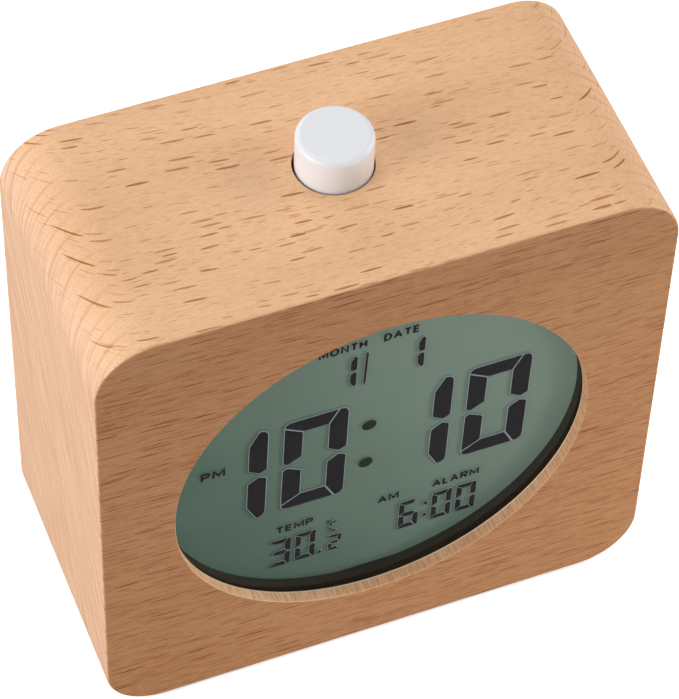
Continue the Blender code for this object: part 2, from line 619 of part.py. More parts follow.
def make_door():
    """The battery door. It pivots on its lower outer edge, where two tabs hook behind the cover."""
    low = BOX_MIDDLE - BOX_HALF_HEIGHT + GAP
    high = BOX_MIDDLE + BOX_HALF_HEIGHT - GAP
    pivot = (0, COVER_BACK, low)
    door = slab("battery_door", door_outline(), "Y", COVER_BACK - DOOR_THICKNESS, COVER_BACK,
                "white_plastic", origin=pivot)
    tab_back = COVER_FRONT - GAP
    tab_front = tab_back - 1.6 * MM
    inner = COVER_BACK - DOOR_THICKNESS + 0.3 * MM
    hook = [(tab_front, low - 2 * MM), (tab_back, low - 2 * MM), (tab_back, low), (inner, low),
            (inner, low + 1.2 * MM), (tab_front, low + 1.2 * MM)]
    for side in (-1, 1):
        middle = side * TAB_PLACE
        fuse(door, slab(f"tab_{side}", hook, "X", middle - TAB_WIDTH / 2, middle + TAB_WIDTH / 2,
                        "white_plastic"))
    tongue = rectangle(8 * MM, 1 * MM, (0, high - 0.9 * MM))  # low enough to swing out past the wall
    fuse(door, slab("tongue", tongue, "Y", tab_front, inner, "white_plastic"))
    notch = slab("cut_notch", circle(4.5 * MM, (0, high - 0.5 * MM), 20), "Y", COVER_BACK - 0.7 * MM,
                 COVER_BACK + 1 * MM, "white_plastic")
    cut(door, notch)
    for number in range(3):
        height = BOX_MIDDLE + (number - 3) * 2 * MM
        rib = rectangle(16 * MM, 0.8 * MM, (0, height))
        cut(door, slab(f"cut_rib_{number}", rib, "Y", COVER_BACK - 0.5 * MM, COVER_BACK + 1 * MM,
                       "white_plastic"))


def battery_heights():
    """Upper battery first."""
    return [BOX_MIDDLE + BATTERY_PITCH / 2, BOX_MIDDLE - BATTERY_PITCH / 2]


def make_batteries():
    """Two AAA cells side by side, one turned round. The upper one has its button end at +X."""
    nub = 1 * MM
    half = BATTERY_LENGTH / 2
    edge = 0.4 * MM
    for number, (z, sign) in enumerate(zip(battery_heights(), (1, -1)), 1):
        profile = [(0, -half), (BATTERY_RADIUS - edge, -half), (BATTERY_RADIUS, -half + edge),
                   (BATTERY_RADIUS, half - nub - edge), (BATTERY_RADIUS - edge, half - nub),
                   (1.9 * MM, half - nub), (1.9 * MM, half), (0, half)]
        profile = [(radius, sign * height) for radius, height in profile]
        turned(f"battery_{number}", profile, "X", (0, BATTERY_DEPTH, z), "battery_sleeve")


def make_contacts():
    """Springs press the flat ends, plates touch the button ends, and the +X plate joins both cells."""
    upper, lower = battery_heights()
    half = BATTERY_LENGTH / 2
    wall = BOX_HALF_LENGTH - GAP
    plate = wall - CONTACT_THICKNESS
    spring_wire = 0.35 * MM
    for name, z, side, foot in (("negative_spring", upper, -1, wall), ("bridge_spring", lower, 1, plate - GAP)):
        start = foot - spring_wire
        reach = start - (half + GAP + spring_wire)
        helix = coil(2.5, 3.4 * MM, 1.9 * MM, reach, steps=10)
        wire(name, [(side * (start - c), BATTERY_DEPTH + a, z + b) for a, b, c in helix], spring_wire,
             "nickel")
    bump = [(0, half + GAP), (1.5 * MM, half + GAP), (2.8 * MM, plate), (4.2 * MM, plate), (4.2 * MM, wall),
            (0, wall)]
    mirrored = [(radius, -height) for radius, height in bump]
    turned("positive_plate", mirrored, "X", (0, BATTERY_DEPTH, lower), "nickel")
    outline = rectangle(8.4 * MM, 2 * BOX_HALF_HEIGHT - 3 * MM, (BATTERY_DEPTH, BOX_MIDDLE))
    bridge = slab("bridge_plate", outline, "X", plate, wall, "nickel")
    fuse(bridge, turned("bridge_bump", bump, "X", (0, BATTERY_DEPTH, upper), "nickel"))


def key_board_back():
    """The board's face towards the cover. The flange, stem and switch of a key stand between them."""
    stem_end = COVER_FRONT - GAP - 1.2 * MM - 1.9 * MM
    plunger = stem_end - KEY_TRAVEL - STOP_GAP
    return plunger - SWITCH_PLUNGER - SWITCH_BODY - GAP


def key_board_screws():
    return [(-21 * MM, KEY_HEIGHT + 5 * MM), (20 * MM, KEY_HEIGHT - 5.5 * MM)]


def make_keys():
    back = key_board_back()
    front = back - KEY_BOARD_THICKNESS
    board = slab("key_board", rectangle(70 * MM, 17 * MM, (1 * MM, KEY_HEIGHT)), "Y", front, back,
                 "circuit_board")
    for number, (x, z) in enumerate(key_board_screws(), 1):
        cut(board, pin(f"cut_key_board_{number}", 1.2 * MM, "Y", (x, front - 1 * MM, z), 4 * MM, steps=12))
        length = 7 * MM
        make_screw(f"key_board_screw_{number}", (x, front - GAP + length, z), ("Y", -1), 0.85 * MM,
                   length, 1.9 * MM, 1.2 * MM)
    flange_back = COVER_FRONT - GAP
    flange_front = flange_back - 1.2 * MM
    stem_end = flange_front - 1.9 * MM
    crown = COVER_BACK + KEY_PROUD
    rim = 0.4 * MM
    for number, (name, x) in enumerate(zip(KEY_NAMES, KEY_PLACES), 1):
        make_tact_switch(f"key_switch_{number}", "Y", 1, (x, back + GAP, KEY_HEIGHT))
        profile = [(0, stem_end), (1.5 * MM, stem_end), (1.5 * MM, flange_front), (KEY_FLANGE, flange_front),
                   (KEY_FLANGE, flange_back), (KEY_RADIUS, flange_back), (KEY_RADIUS, crown - rim),
                   (KEY_RADIUS - rim, crown), (0, crown)]
        profile = [(radius, depth - COVER_BACK) for radius, depth in profile]
        turned(name, profile, "Y", (x, COVER_BACK, KEY_HEIGHT), "white_plastic")
    make_slide_switch(back + GAP)


def make_slide_switch(base):
    """The alarm's on and off switch: a metal-cased body on the board, and a knob in the cover's slot."""
    width, height = SLIDER_KNOB
    start = SLIDER_PLACE - SLIDER_TRAVEL / 2
    case_back = base + 4 * MM
    body = slab("alarm_switch_body", rectangle(9.6 * MM, 5 * MM, (SLIDER_PLACE, KEY_HEIGHT)), "Y", base,
                case_back, "steel", easing=0.3 * MM)
    channel = rectangle(2 * MM + SLIDER_TRAVEL + 2 * GAP, 2 * MM + 2 * GAP, (SLIDER_PLACE, KEY_HEIGHT))
    cut(body, slab("cut_channel", channel, "Y", case_back - 2 * MM, case_back + 1 * MM, "steel"))
    crown = COVER_BACK + KEY_PROUD
    knob = slab("alarm_switch_knob", rectangle(width, height, (start, KEY_HEIGHT)), "Y", case_back + GAP,
                crown, "black_plastic", origin=(start, COVER_BACK, KEY_HEIGHT), easing=0.3 * MM)
    fuse(knob, slab("knob_root", rectangle(2 * MM, 2 * MM, (start, KEY_HEIGHT)), "Y", case_back - 1.7 * MM,
                    case_back + 1 * MM, "black_plastic"))


def make_buzzer():
    """A round sounder with a small port that faces the holes in the cover."""
    back = COVER_FRONT - GAP
    port = 1.5 * MM
    edge = 0.5 * MM
    profile = [(0, back - BUZZER_DEPTH), (BUZZER_RADIUS - edge, back - BUZZER_DEPTH),
               (BUZZER_RADIUS, back - BUZZER_DEPTH + edge), (BUZZER_RADIUS, back - edge),
               (BUZZER_RADIUS - edge, back), (port, back), (port, back - 2 * MM), (0, back - 2 * MM)]
    turned("buzzer", profile, "Y", (0, 0, MIDDLE + BUZZER_ABOVE), "component")


def make_wiring():
    """Two battery leads and two flat cables, all held inside the case between their solder points."""
    surface = BOARD_BACK + GAP
    upper, lower = battery_heights()
    wall = -BOX_HALF_LENGTH
    for name, z, rise, finish in (("black_lead", upper, 4 * MM, "black_wire"),
                                  ("red_lead", lower, 6 * MM, "red_wire")):
        route = [(wall, BATTERY_DEPTH, z), (wall - 3 * MM, BATTERY_DEPTH, z),
                 (wall - 7 * MM, BATTERY_DEPTH - 4 * MM, z + 0.3 * rise),
                 (wall - 7.5 * MM, 4 * MM, z + 0.7 * rise), (wall - 7 * MM, surface + 4 * MM, z + rise),
                 (wall - 7 * MM, surface, z + rise)]
        wire(name, smooth_route(route), 0.6 * MM, finish)
    key_front = key_board_back() - KEY_BOARD_THICKNESS - GAP
    key_route = [(key_front, KEY_HEIGHT - 4 * MM), (key_front - 3 * MM, KEY_HEIGHT - 6 * MM),
                 (3 * MM, MIDDLE + 12 * MM), (surface + 3 * MM, MIDDLE + 9 * MM), (surface, MIDDLE + 9 * MM)]
    flat_cable("key_cable", key_route, -26 * MM, 9 * MM)
    _, board, _ = snooze_levels()
    edge = SNOOZE_PLACE[1] - 6.5 * MM - GAP
    middle = board + 0.6 * MM
    snooze_route = [(edge, middle), (edge - 0.4 * MM, middle - 0.35 * MM),
                    (surface + 0.65 * MM, middle - 1.6 * MM), (surface + 0.55 * MM, middle - 3.4 * MM),
                    (surface + 0.45 * MM, middle - 5.2 * MM), (surface + 0.1 * MM, middle - 6.4 * MM)]
    flat_cable("snooze_cable", snooze_route, SNOOZE_PLACE[0], 3 * MM)


def flat_cable(name, route, x, width):
    """A flat cable across X, along a smooth curve through the route's (y, z) points."""
    line = smooth_route([(0, y, z) for y, z in route])
    half = CABLE_THICKNESS / 2
    upper, lower = [], []
    for i, point in enumerate(line):
        along = (line[min(i + 1, len(line) - 1)] - line[max(i - 1, 0)]).normalized()
        side = Vector((0, -along.z, along.y)) * half
        upper.append(((point + side).y, (point + side).z))
        lower.append(((point - side).y, (point - side).z))
    slab(name, upper + lower[::-1], "X", x - width / 2, x + width / 2, "grey_wire")


clear_scene()
make_case()
make_lens()
make_bezel()
make_display()
make_backlight()
make_holder()
make_strips()
make_main_board()
make_snooze()
make_cover()
make_door()
make_batteries()
make_contacts()
make_keys()
make_buzzer()
make_wiring()
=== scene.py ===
"""Looks of the desk alarm clock: beech block, liquid crystal display, button and back."""

import json
import math

import bmesh
import bpy
from mathutils import Matrix, Vector


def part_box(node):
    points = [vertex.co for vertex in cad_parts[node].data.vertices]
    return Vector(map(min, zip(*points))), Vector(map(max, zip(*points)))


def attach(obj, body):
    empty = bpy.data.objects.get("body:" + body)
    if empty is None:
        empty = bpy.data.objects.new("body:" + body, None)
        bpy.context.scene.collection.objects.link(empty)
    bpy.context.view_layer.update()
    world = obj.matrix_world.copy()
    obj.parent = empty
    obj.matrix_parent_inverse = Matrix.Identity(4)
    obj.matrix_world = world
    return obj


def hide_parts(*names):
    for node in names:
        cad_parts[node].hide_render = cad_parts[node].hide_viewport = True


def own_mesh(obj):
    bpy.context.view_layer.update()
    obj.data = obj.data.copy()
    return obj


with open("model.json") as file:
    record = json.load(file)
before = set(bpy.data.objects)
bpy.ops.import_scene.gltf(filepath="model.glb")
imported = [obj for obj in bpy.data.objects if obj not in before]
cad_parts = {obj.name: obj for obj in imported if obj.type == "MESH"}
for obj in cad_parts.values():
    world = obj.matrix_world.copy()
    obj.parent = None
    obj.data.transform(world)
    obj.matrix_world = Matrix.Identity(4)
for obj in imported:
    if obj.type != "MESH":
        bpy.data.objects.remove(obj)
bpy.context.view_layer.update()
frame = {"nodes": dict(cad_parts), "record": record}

MM = 0.001

# The block and its parts, read from the frame.
CASE_LOW, CASE_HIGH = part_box("wood_case")
MIDDLE = (CASE_LOW.z + CASE_HIGH.z) / 2
FRONT = CASE_LOW.y
BACK = CASE_HIGH.y
TOP = CASE_HIGH.z
LENS_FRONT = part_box("front_lens")[0].y
PANEL_LOW, PANEL_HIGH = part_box("lcd_panel")
COVER_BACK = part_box("back_cover")[1].y
SNOOZE_LOW, SNOOZE_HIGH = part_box("snooze_button")

# Shapes that a box doesn't give.
CASE_CORNER = 10.5 * MM
CASE_EASING = 0.5 * MM
WINDOW_RADIUS = 37.0 * MM
WINDOW_WALL = 2.0 * MM
WINDOW_EASING = 0.25 * MM
CAVITY_SIDE = 80 * MM
CAVITY_CORNER = 8 * MM
REBATE_SIDE = 88 * MM
REBATE_CORNER = 7 * MM
REBATE_DEPTH = 3 * MM
REBATE_LIP = 0.3 * MM
FOOT_GAP = 0.3 * MM
FOOT_CUT_BELOW = 5 * MM
EDGE_STEPS = 4
SNOOZE_HOLE = 6.8 * MM
SNOOZE_HOLE_SHIFT = -0.1 * MM
SNOOZE_HOLE_DEPTH = 12 * MM
SNOOZE_HOLE_LENGTH = 20 * MM
SNOOZE_RADIUS = 6.45 * MM
SNOOZE_BORE = 4.6 * MM
SNOOZE_STEM = 2.2 * MM
SNOOZE_ROOF = 1.8 * MM
SNOOZE_RIM = 1.0 * MM
SNOOZE_FLANGE = 1.5 * MM
SNOOZE_GAP = 0.3 * MM  # between the flange and the wood above it
SPRING_WIRE = 0.3 * MM
SPRING_TURNS = 4


def srgb(red, green, blue):
    """A linear colour from the 0 to 255 values of a display."""
    levels = [value / 255 for value in (red, green, blue)]
    return tuple(v / 12.92 if v <= 0.04045 else ((v + 0.055) / 1.055) ** 2.4 for v in levels)


# ---------------------------------------------------------------- materials


class Shader:
    """A material with one Principled surface, and short calls for the nodes that feed it."""

    def __init__(self, name):
        self.material = bpy.data.materials.new(name)
        self.material.use_nodes = True
        self.tree = self.material.node_tree
        self.surface = self.tree.nodes["Principled BSDF"]
        self.output = self.tree.nodes["Material Output"]

    def feed(self, socket, value):
        if isinstance(value, bpy.types.NodeSocket):
            self.tree.links.new(value, socket)
        else:
            socket.default_value = value

    def node(self, kind, inputs=None, **settings):
        made = self.tree.nodes.new(kind)
        for name, value in settings.items():
            setattr(made, name, value)
        for key, value in (inputs or {}).items():
            self.feed(made.inputs[key], value)
        return made

    def set(self, **sockets):
        """Sets sockets of the surface. A name such as base_color stands for Base Color."""
        for name, value in sockets.items():
            if isinstance(value, tuple) and len(value) == 3 and "color" in name:
                value = (*value, 1.0)
            title = name.replace("_", " ").title().replace("Ior", "IOR")
            self.feed(self.surface.inputs[title], value)

    def place(self):
        """The object's own coordinates in millimetres."""
        spot = self.node("ShaderNodeTexCoord").outputs["Object"]
        return self.vector("MULTIPLY", spot, (1 / MM, 1 / MM, 1 / MM))

    def parts(self, vector):
        return self.node("ShaderNodeSeparateXYZ", {0: vector}).outputs

    def vector(self, operation, a, b=(0.0, 0.0, 0.0)):
        made = self.node("ShaderNodeVectorMath", {0: a, 1: b}, operation=operation)
        return made.outputs["Value" if operation in ("DOT_PRODUCT", "LENGTH") else "Vector"]

    def math(self, operation, a, b=0.0, c=0.0):
        return self.node("ShaderNodeMath", {0: a, 1: b, 2: c}, operation=operation).outputs[0]

    def product(self, first, *others):
        result = first
        for other in others:
            result = self.math("MULTIPLY", result, other)
        return result

    def ramp(self, value, low, high, start=0.0, end=1.0, smooth=True):
        """The value from low to high, turned into start to end and clamped."""
        kind = "SMOOTHSTEP" if smooth else "LINEAR"
        inputs = {"Value": value, "From Min": low, "From Max": high, "To Min": start, "To Max": end}
        return self.node("ShaderNodeMapRange", inputs, interpolation_type=kind).outputs["Result"]

    def mix(self, share, a, b, blend="MIX"):
        made = self.node("ShaderNodeMix", data_type="RGBA", blend_type=blend)
        for socket, value in ((made.inputs[0], share), (made.inputs[6], a), (made.inputs[7], b)):
            if isinstance(value, tuple):
                value = (*value, 1.0)
            self.feed(socket, value)
        return made.outputs[2]

    def darken(self, colour, share, tint):
        """The colour multiplied by the tint, as far as the share says."""
        return self.mix(share, colour, self.mix(1.0, colour, tint, "MULTIPLY"))

    def noise(self, spot, scale, detail=2.0, roughness=0.5, output="Fac"):
        inputs = {"Vector": spot, "Scale": scale, "Detail": detail, "Roughness": roughness}
        return self.node("ShaderNodeTexNoise", inputs).outputs[output]

    def bump(self, height, strength, distance):
        inputs = {"Height": height, "Strength": strength, "Distance": distance}
        return self.node("ShaderNodeBump", inputs).outputs["Normal"]


# Directions of the grain: along the fibres, out through the growth rings, and along the rings.
ALONG = (1.0, 0.0, 0.0)
RADIAL = (-0.01, -0.906, 0.423)
ACROSS = (0.022, 0.423, 0.906)
RING_PITCH = 2.4

# Each kind of ray: the cell that may hold one in millimetres, the part of the cell that it fills,
# how much longer it shows on the face, and the part of the cells that stay empty.
LARGE_RAYS = {"cell": (7.5, 0.85, 13.0), "share": (0.36, 0.14, 0.55), "longer": 0.16, "rare": 0.12}
SMALL_RAYS = {"cell": (3.4, 0.42, 7.0), "share": (0.40, 0.15, 0.55), "longer": 0.06, "rare": 0.25}

# Colours of the wood, and the tints that multiply them where a feature shows, or where shade is
# painted on.
WOOD_LIGHT = srgb(239, 194, 152)
WOOD_DARK = srgb(233, 186, 144)
WOOD_PALE_END = srgb(244, 210, 184)
BARE_LIGHT = srgb(250, 211, 168)
BARE_DARK = srgb(226, 175, 132)
# Painted shade on the bare wood towards the right side.
BARE_PAINTED_SHADE_TINT = (0.82, 0.73, 0.69)
FIBRE_TINT = (0.95, 0.92, 0.88)
PORE_TINT = (0.92, 0.86, 0.80)
RING_TINT = (0.74, 0.57, 0.45)
FINE_LINE_TINT = (0.85, 0.76, 0.71)
SMALL_RAY_TINT = (0.64, 0.43, 0.27)
LARGE_RAY_TINT = (0.48, 0.25, 0.11)
STREAK_TINT = (0.80, 0.72, 0.66)
# Painted shade on the front and back faces: the tint at the foot and the darker one at the head.
FACE_FOOT_PAINTED_SHADE = (0.765, 0.655, 0.58)
FACE_HEAD_PAINTED_SHADE = (0.635, 0.55, 0.49)


class Beech(Shader):
    """Solid beech, grain along X: growth rings, rays that show as flecks, and fine vessel lines.

    Rings follow the radial direction and rays stand across them, so one solid pattern gives short
    wide flecks on top, thin dark lines on the face and crossed lines on the end grain.
    """

    def __init__(self, name):
        super().__init__(name)
        self.spot = self.place()
        stretched = self.vector("MULTIPLY", self.spot, (0.35, 1.0, 1.0))
        waves = self.noise(stretched, 0.03, output="Color")
        waves = self.vector("SUBTRACT", waves, (0.5, 0.5, 0.5))
        bent = self.vector("ADD", self.spot, self.vector("MULTIPLY", waves, (0.0, 5.0, 5.0)))
        self.along = self.vector("DOT_PRODUCT", bent, ALONG)
        self.radial = self.vector("DOT_PRODUCT", bent, RADIAL)
        self.across = self.vector("DOT_PRODUCT", bent, ACROSS)
        facing = self.node("ShaderNodeTexCoord").outputs["Normal"]
        sideways = self.math("ABSOLUTE", self.vector("DOT_PRODUCT", facing, (1.0, 0.0, 0.0)))
        upright = self.math("ABSOLUTE", self.vector("DOT_PRODUCT", facing, (0.0, 1.0, 0.0)))
        self.end_grain = self.ramp(sideways, 0.15, 0.85)
        self.square_on = self.ramp(sideways, 0.6, 1.0)
        self.face_grain = self.ramp(upright, 0.55, 0.95)

    def cells(self, length, thickness, width):
        """Coordinates along the grain, along the rings and through them, in cells of this size."""
        inputs = {"X": self.math("DIVIDE", self.along, length),
                  "Y": self.math("DIVIDE", self.across, thickness),
                  "Z": self.math("DIVIDE", self.radial, width)}
        return self.node("ShaderNodeCombineXYZ", inputs).outputs[0]

    def rays(self, cell, share, longer, rare):
        """Lens-shaped sheets, each in a cell of a stretched Voronoi pattern.

        On the face they show longer and bolder than on top.
        """
        spread = self.cells(*cell)
        found = self.node("ShaderNodeTexVoronoi", {"Vector": spread, "Scale": 1.0})
        away = self.vector("SUBTRACT", spread, found.outputs["Position"])
        length = self.math("MULTIPLY_ADD", self.face_grain, longer, share[0])
        thickness = self.math("MULTIPLY_ADD", self.face_grain, 0.35 * share[1], share[1])
        sides = {"X": length, "Y": thickness, "Z": share[2]}
        extent = self.node("ShaderNodeCombineXYZ", sides).outputs[0]
        reach = self.vector("LENGTH", self.vector("DIVIDE", away, extent))
        chance = self.node("ShaderNodeSeparateColor", {0: found.outputs["Color"]})
        size = self.ramp(chance.outputs[0], rare, 1.0, 0.5, 1.0, smooth=False)
        inside = self.ramp(self.math("DIVIDE", reach, size), 0.78, 1.0, 1.0, 0.0)
        present = self.math("GREATER_THAN", chance.outputs[0], rare)
        strength = self.ramp(chance.outputs[1], 0.0, 1.0, 0.4, 1.0, smooth=False)
        return self.product(inside, present, strength)

    def late_wood(self):
        """The dark end of each growth ring, stronger in some rings than in others."""
        wander = self.noise(self.cells(90.0, 24.0, 6.0), 1.0, detail=2.0)
        count = self.math("DIVIDE", self.radial, RING_PITCH)
        phase = self.math("ADD", count, self.product(wander, 2.2))
        ring = self.math("FRACT", phase)
        number = {"W": self.math("FLOOR", phase)}
        which = self.node("ShaderNodeTexWhiteNoise", number, noise_dimensions="1D").outputs[0]
        rise = self.ramp(ring, 0.66, 0.94)
        fall = self.ramp(ring, 0.95, 1.0, 1.0, 0.0)
        return self.product(rise, fall, self.ramp(which, 0.0, 1.0, 0.35, 1.0, smooth=False))

    def bare(self, colour):
        """The colour, changed inside the window and the hollow, where the wood has no oil on it, and
        darkened towards the right by painted shade.
        """
        away = self.vector("SUBTRACT", self.spot, (0.0, 0.0, MIDDLE / MM))
        aside = self.parts(self.vector("ABSOLUTE", away))
        reach = self.math("MAXIMUM", aside[0], aside[2])
        depth = self.parts(self.spot)[1]  # from just behind the eased edge to just short of the back
        within = self.product(
            self.math("LESS_THAN", reach, (REBATE_SIDE / 2 + REBATE_LIP) / MM),
            self.math("GREATER_THAN", depth, (FRONT + 0.2 * WINDOW_EASING) / MM),
            self.math("LESS_THAN", depth, (BACK - 0.2 * MM) / MM))
        grooves = self.noise(self.vector("MULTIPLY", self.spot, (2.8, 0.25, 2.8)), 1.0, detail=3.0)
        bare = self.mix(self.ramp(grooves, 0.36, 0.66), BARE_LIGHT, BARE_DARK)
        # Painted shade: the bare wood darkens towards the right side.
        bare = self.darken(bare, self.ramp(self.parts(away)[0], -25.0, 10.0), BARE_PAINTED_SHADE_TINT)
        return self.mix(within, colour, bare)


def beech():
    wood = Beech("beech_wood")
    end_grain, square_on, face_grain = wood.end_grain, wood.square_on, wood.face_grain
    large = wood.rays(**LARGE_RAYS)
    small = wood.rays(**SMALL_RAYS)
    late = wood.late_wood()
    # Clouds stretched along the grain, from cells given in millimetres.
    pores = wood.noise(wood.cells(1.7, 0.2, 0.2), 1.0, detail=2.0, roughness=0.6)
    fibre = wood.noise(wood.cells(18.0, 0.9, 0.9), 1.0, detail=2.0)
    streaks = wood.noise(wood.cells(8.0, 0.32, 0.6), 1.0, detail=3.0, roughness=0.6)
    tone = wood.noise(wood.cells(60.0, 16.0, 16.0), 1.0, detail=1.0)
    fine = wood.noise(wood.cells(40.0, 16.0, 0.3), 1.0, detail=1.0)

    colour = wood.mix(wood.ramp(tone, 0.3, 0.7), WOOD_LIGHT, WOOD_DARK)
    paleness = wood.math("MULTIPLY_ADD", square_on, 0.5, wood.product(end_grain, 0.25))
    colour = wood.mix(paleness, colour, WOOD_PALE_END)
    colour = wood.darken(colour, wood.ramp(fibre, 0.35, 0.7, 0.0, 0.4), FIBRE_TINT)
    colour = wood.darken(colour, wood.ramp(pores, 0.48, 0.62), PORE_TINT)
    ring_share = wood.product(
        late,
        wood.math("MULTIPLY_ADD", end_grain, 0.7, 0.1),
        wood.math("MULTIPLY_ADD", square_on, -0.6, 1.0))
    colour = wood.darken(colour, ring_share, RING_TINT)
    colour = wood.darken(colour, wood.product(wood.ramp(fine, 0.45, 0.60), square_on), FINE_LINE_TINT)
    flatwise = wood.math("MULTIPLY_ADD", square_on, -0.8, 1.0)
    colour = wood.darken(colour, wood.product(small, 0.75, flatwise), SMALL_RAY_TINT)
    colour = wood.darken(colour, wood.product(large, flatwise), LARGE_RAY_TINT)
    colour = wood.darken(colour, wood.product(wood.ramp(streaks, 0.50, 0.66), face_grain), STREAK_TINT)
    # Painted shade: the front and back faces are darkened, more so towards the top.
    height = wood.ramp(wood.parts(wood.spot)[2], 0.0, 100.0, smooth=False)
    colour = wood.darken(colour, face_grain, wood.mix(height, FACE_FOOT_PAINTED_SHADE, FACE_HEAD_PAINTED_SHADE))
    wood.set(base_color=wood.bare(colour), specular_ior_level=0.35)

    wood.set(roughness=wood.ramp(pores, 0.3, 0.8, 0.48, 0.62))
    relief = wood.math("ADD", wood.product(pores, -0.35), wood.product(large, -0.6))
    relief = wood.math("ADD", relief, wood.product(late, 0.15))
    wood.set(normal=wood.bump(relief, 0.35, 0.05 * MM))
    return wood.material


def moulded(name, colour, roughness, grain=0.25 * MM, relief=0.006 * MM, worn=0.04, **extra):
    """Moulded or pressed stuff: a fine surface grain, and slow changes of gloss and colour."""
    made = Shader(name)
    spot = made.place()
    clouds = made.noise(spot, 0.12, detail=3.0)
    shade = tuple(channel * (1 - worn) for channel in colour)
    grit = made.noise(spot, MM / grain, detail=2.0, roughness=0.6)
    made.set(base_color=made.mix(clouds, colour, shade), **extra)
    gloss = made.math("MULTIPLY_ADD", made.noise(spot, 0.4, detail=3.0), 0.08, roughness - 0.04)
    made.set(roughness=gloss, normal=made.bump(grit, 0.6, relief))
    return made.material


PLUS_BAND = 13.0  # length of the copper band in millimetres
BARE_END = 1.3  # length of the bare metal at each end in millimetres


def battery(name, low, high, plus_side):
    """A battery along X: bare metal ends, a dark sleeve, and a copper band at the plus end."""
    made = Shader(name)
    middle = (low.x + high.x) / 2 / MM
    half = (high.x - low.x) / 2 / MM
    spot = made.place()
    from_plus = made.product(made.math("SUBTRACT", made.parts(spot)[0], middle), plus_side)
    band = made.math("GREATER_THAN", from_plus, half - PLUS_BAND)
    bare = made.math("GREATER_THAN", made.math("ABSOLUTE", from_plus), half - BARE_END)
    clouds = made.noise(spot, 0.2, detail=3.0)
    sleeve = made.mix(band, srgb(40, 44, 52), srgb(190, 120, 70))
    colour = made.mix(bare, sleeve, srgb(205, 204, 200))
    colour = made.mix(made.ramp(clouds, 0.3, 0.8, 0.0, 0.12), colour, (0.05, 0.05, 0.05))
    metal = made.math("MAXIMUM", bare, made.product(band, 0.7))
    made.set(base_color=colour, metallic=metal)
    made.set(roughness=made.ramp(clouds, 0.2, 0.8, 0.26, 0.38))
    return made.material


# Painted shade and painted light: the layer's colour on its darker lower left and on its lighter upper
# right.
LAYER_PAINTED_SHADE_SIDE = srgb(100, 124, 114)
LAYER_PAINTED_LIT_SIDE = srgb(143, 162, 150)
LAYER_PAINT = 0.48  # share of the layer's colour that it reflects
LAYER_PAINTED_GLOW = 0.36  # painted glow: brightness of its own, though the layer is no lamp


def lcd_layer(name="lcd_layer", painted_shadow_dimming=1.0):
    """Grey-green reflecting layer, with painted light that makes it a little lighter to the upper
    right and a painted glow of its own; dimmed copies of it are painted shadows.
    """
    layer = Shader(name)
    spot = layer.place()
    # Painted light: lighter towards the upper right, darker towards the lower left.
    painted_light_slope = layer.vector("DOT_PRODUCT", spot, (0.6, 0.0, 0.4))
    middle = 0.4 * MIDDLE / MM
    share = layer.ramp(painted_light_slope, middle - 30.0, middle + 30.0)
    clouds = layer.noise(spot, 0.06, detail=2.0)
    share = layer.math("ADD", share, layer.ramp(clouds, 0.3, 0.7, -0.06, 0.06, smooth=False))
    colour = layer.mix(share, LAYER_PAINTED_SHADE_SIDE, LAYER_PAINTED_LIT_SIDE)
    grit = layer.noise(spot, 6.0)
    paint = layer.mix(1.0, colour, (LAYER_PAINT * painted_shadow_dimming,) * 3, "MULTIPLY")
    # Painted glow: the layer gives off light though it is no lamp.
    layer.set(base_color=paint, emission_color=colour, emission_strength=LAYER_PAINTED_GLOW * painted_shadow_dimming)
    layer.set(specular_ior_level=0.05)
    layer.set(roughness=layer.ramp(clouds, 0.2, 0.8, 0.6, 0.7))
    layer.set(normal=layer.bump(grit, 0.3, 0.003 * MM))
    return layer.material


def clear_sheet(name, tint, gloss, straight_on, at_edge):
    """A coated clear sheet: light goes straight through, and only outer faces shine a little."""
    made = Shader(name)
    made.tree.nodes.remove(made.surface)
    through = made.node("ShaderNodeBsdfTransparent", {"Color": (*tint, 1.0)})
    dust = made.noise(made.place(), 0.2, detail=4.0)
    rough = made.ramp(dust, 0.2, 0.8, gloss, gloss + 0.03)
    shine = made.node("ShaderNodeBsdfGlossy", {"Color": (1.0, 1.0, 1.0, 1.0), "Roughness": rough})
    facing = made.node("ShaderNodeLayerWeight", {"Blend": 0.5}).outputs["Facing"]
    rise = made.math("POWER", facing, 5.0)
    backfacing = made.node("ShaderNodeNewGeometry").outputs["Backfacing"]
    outside = made.math("SUBTRACT", 1.0, backfacing)
    share = made.product(made.math("MULTIPLY_ADD", rise, at_edge, straight_on), outside)
    both = made.node("ShaderNodeMixShader", {0: share, 1: through.outputs[0], 2: shine.outputs[0]})
    made.feed(made.output.inputs["Surface"], both.outputs[0])
    return made.material


# ---------------------------------------------------------------- mesh tools


def add_mesh(name, points, faces, body="case"):
    mesh = bpy.data.meshes.new(name)
    mesh.from_pydata(points, [], faces)
    work = bmesh.new()
    work.from_mesh(mesh)
    bmesh.ops.recalc_face_normals(work, faces=work.faces)
    work.to_mesh(mesh)
    work.free()
    piece = bpy.data.objects.new(name, mesh)
    bpy.context.scene.collection.objects.link(piece)
    if body:
        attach(piece, body)
    return piece


def dress(piece, material):
    piece.data.materials.clear()
    piece.data.materials.append(material)


def smooth(piece, angle=35.0):
    piece.data.shade_smooth()
    piece.data.set_sharp_from_angle(angle=math.radians(angle))
    even = piece.modifiers.new("even_shading", "WEIGHTED_NORMAL")
    even.keep_sharp = True


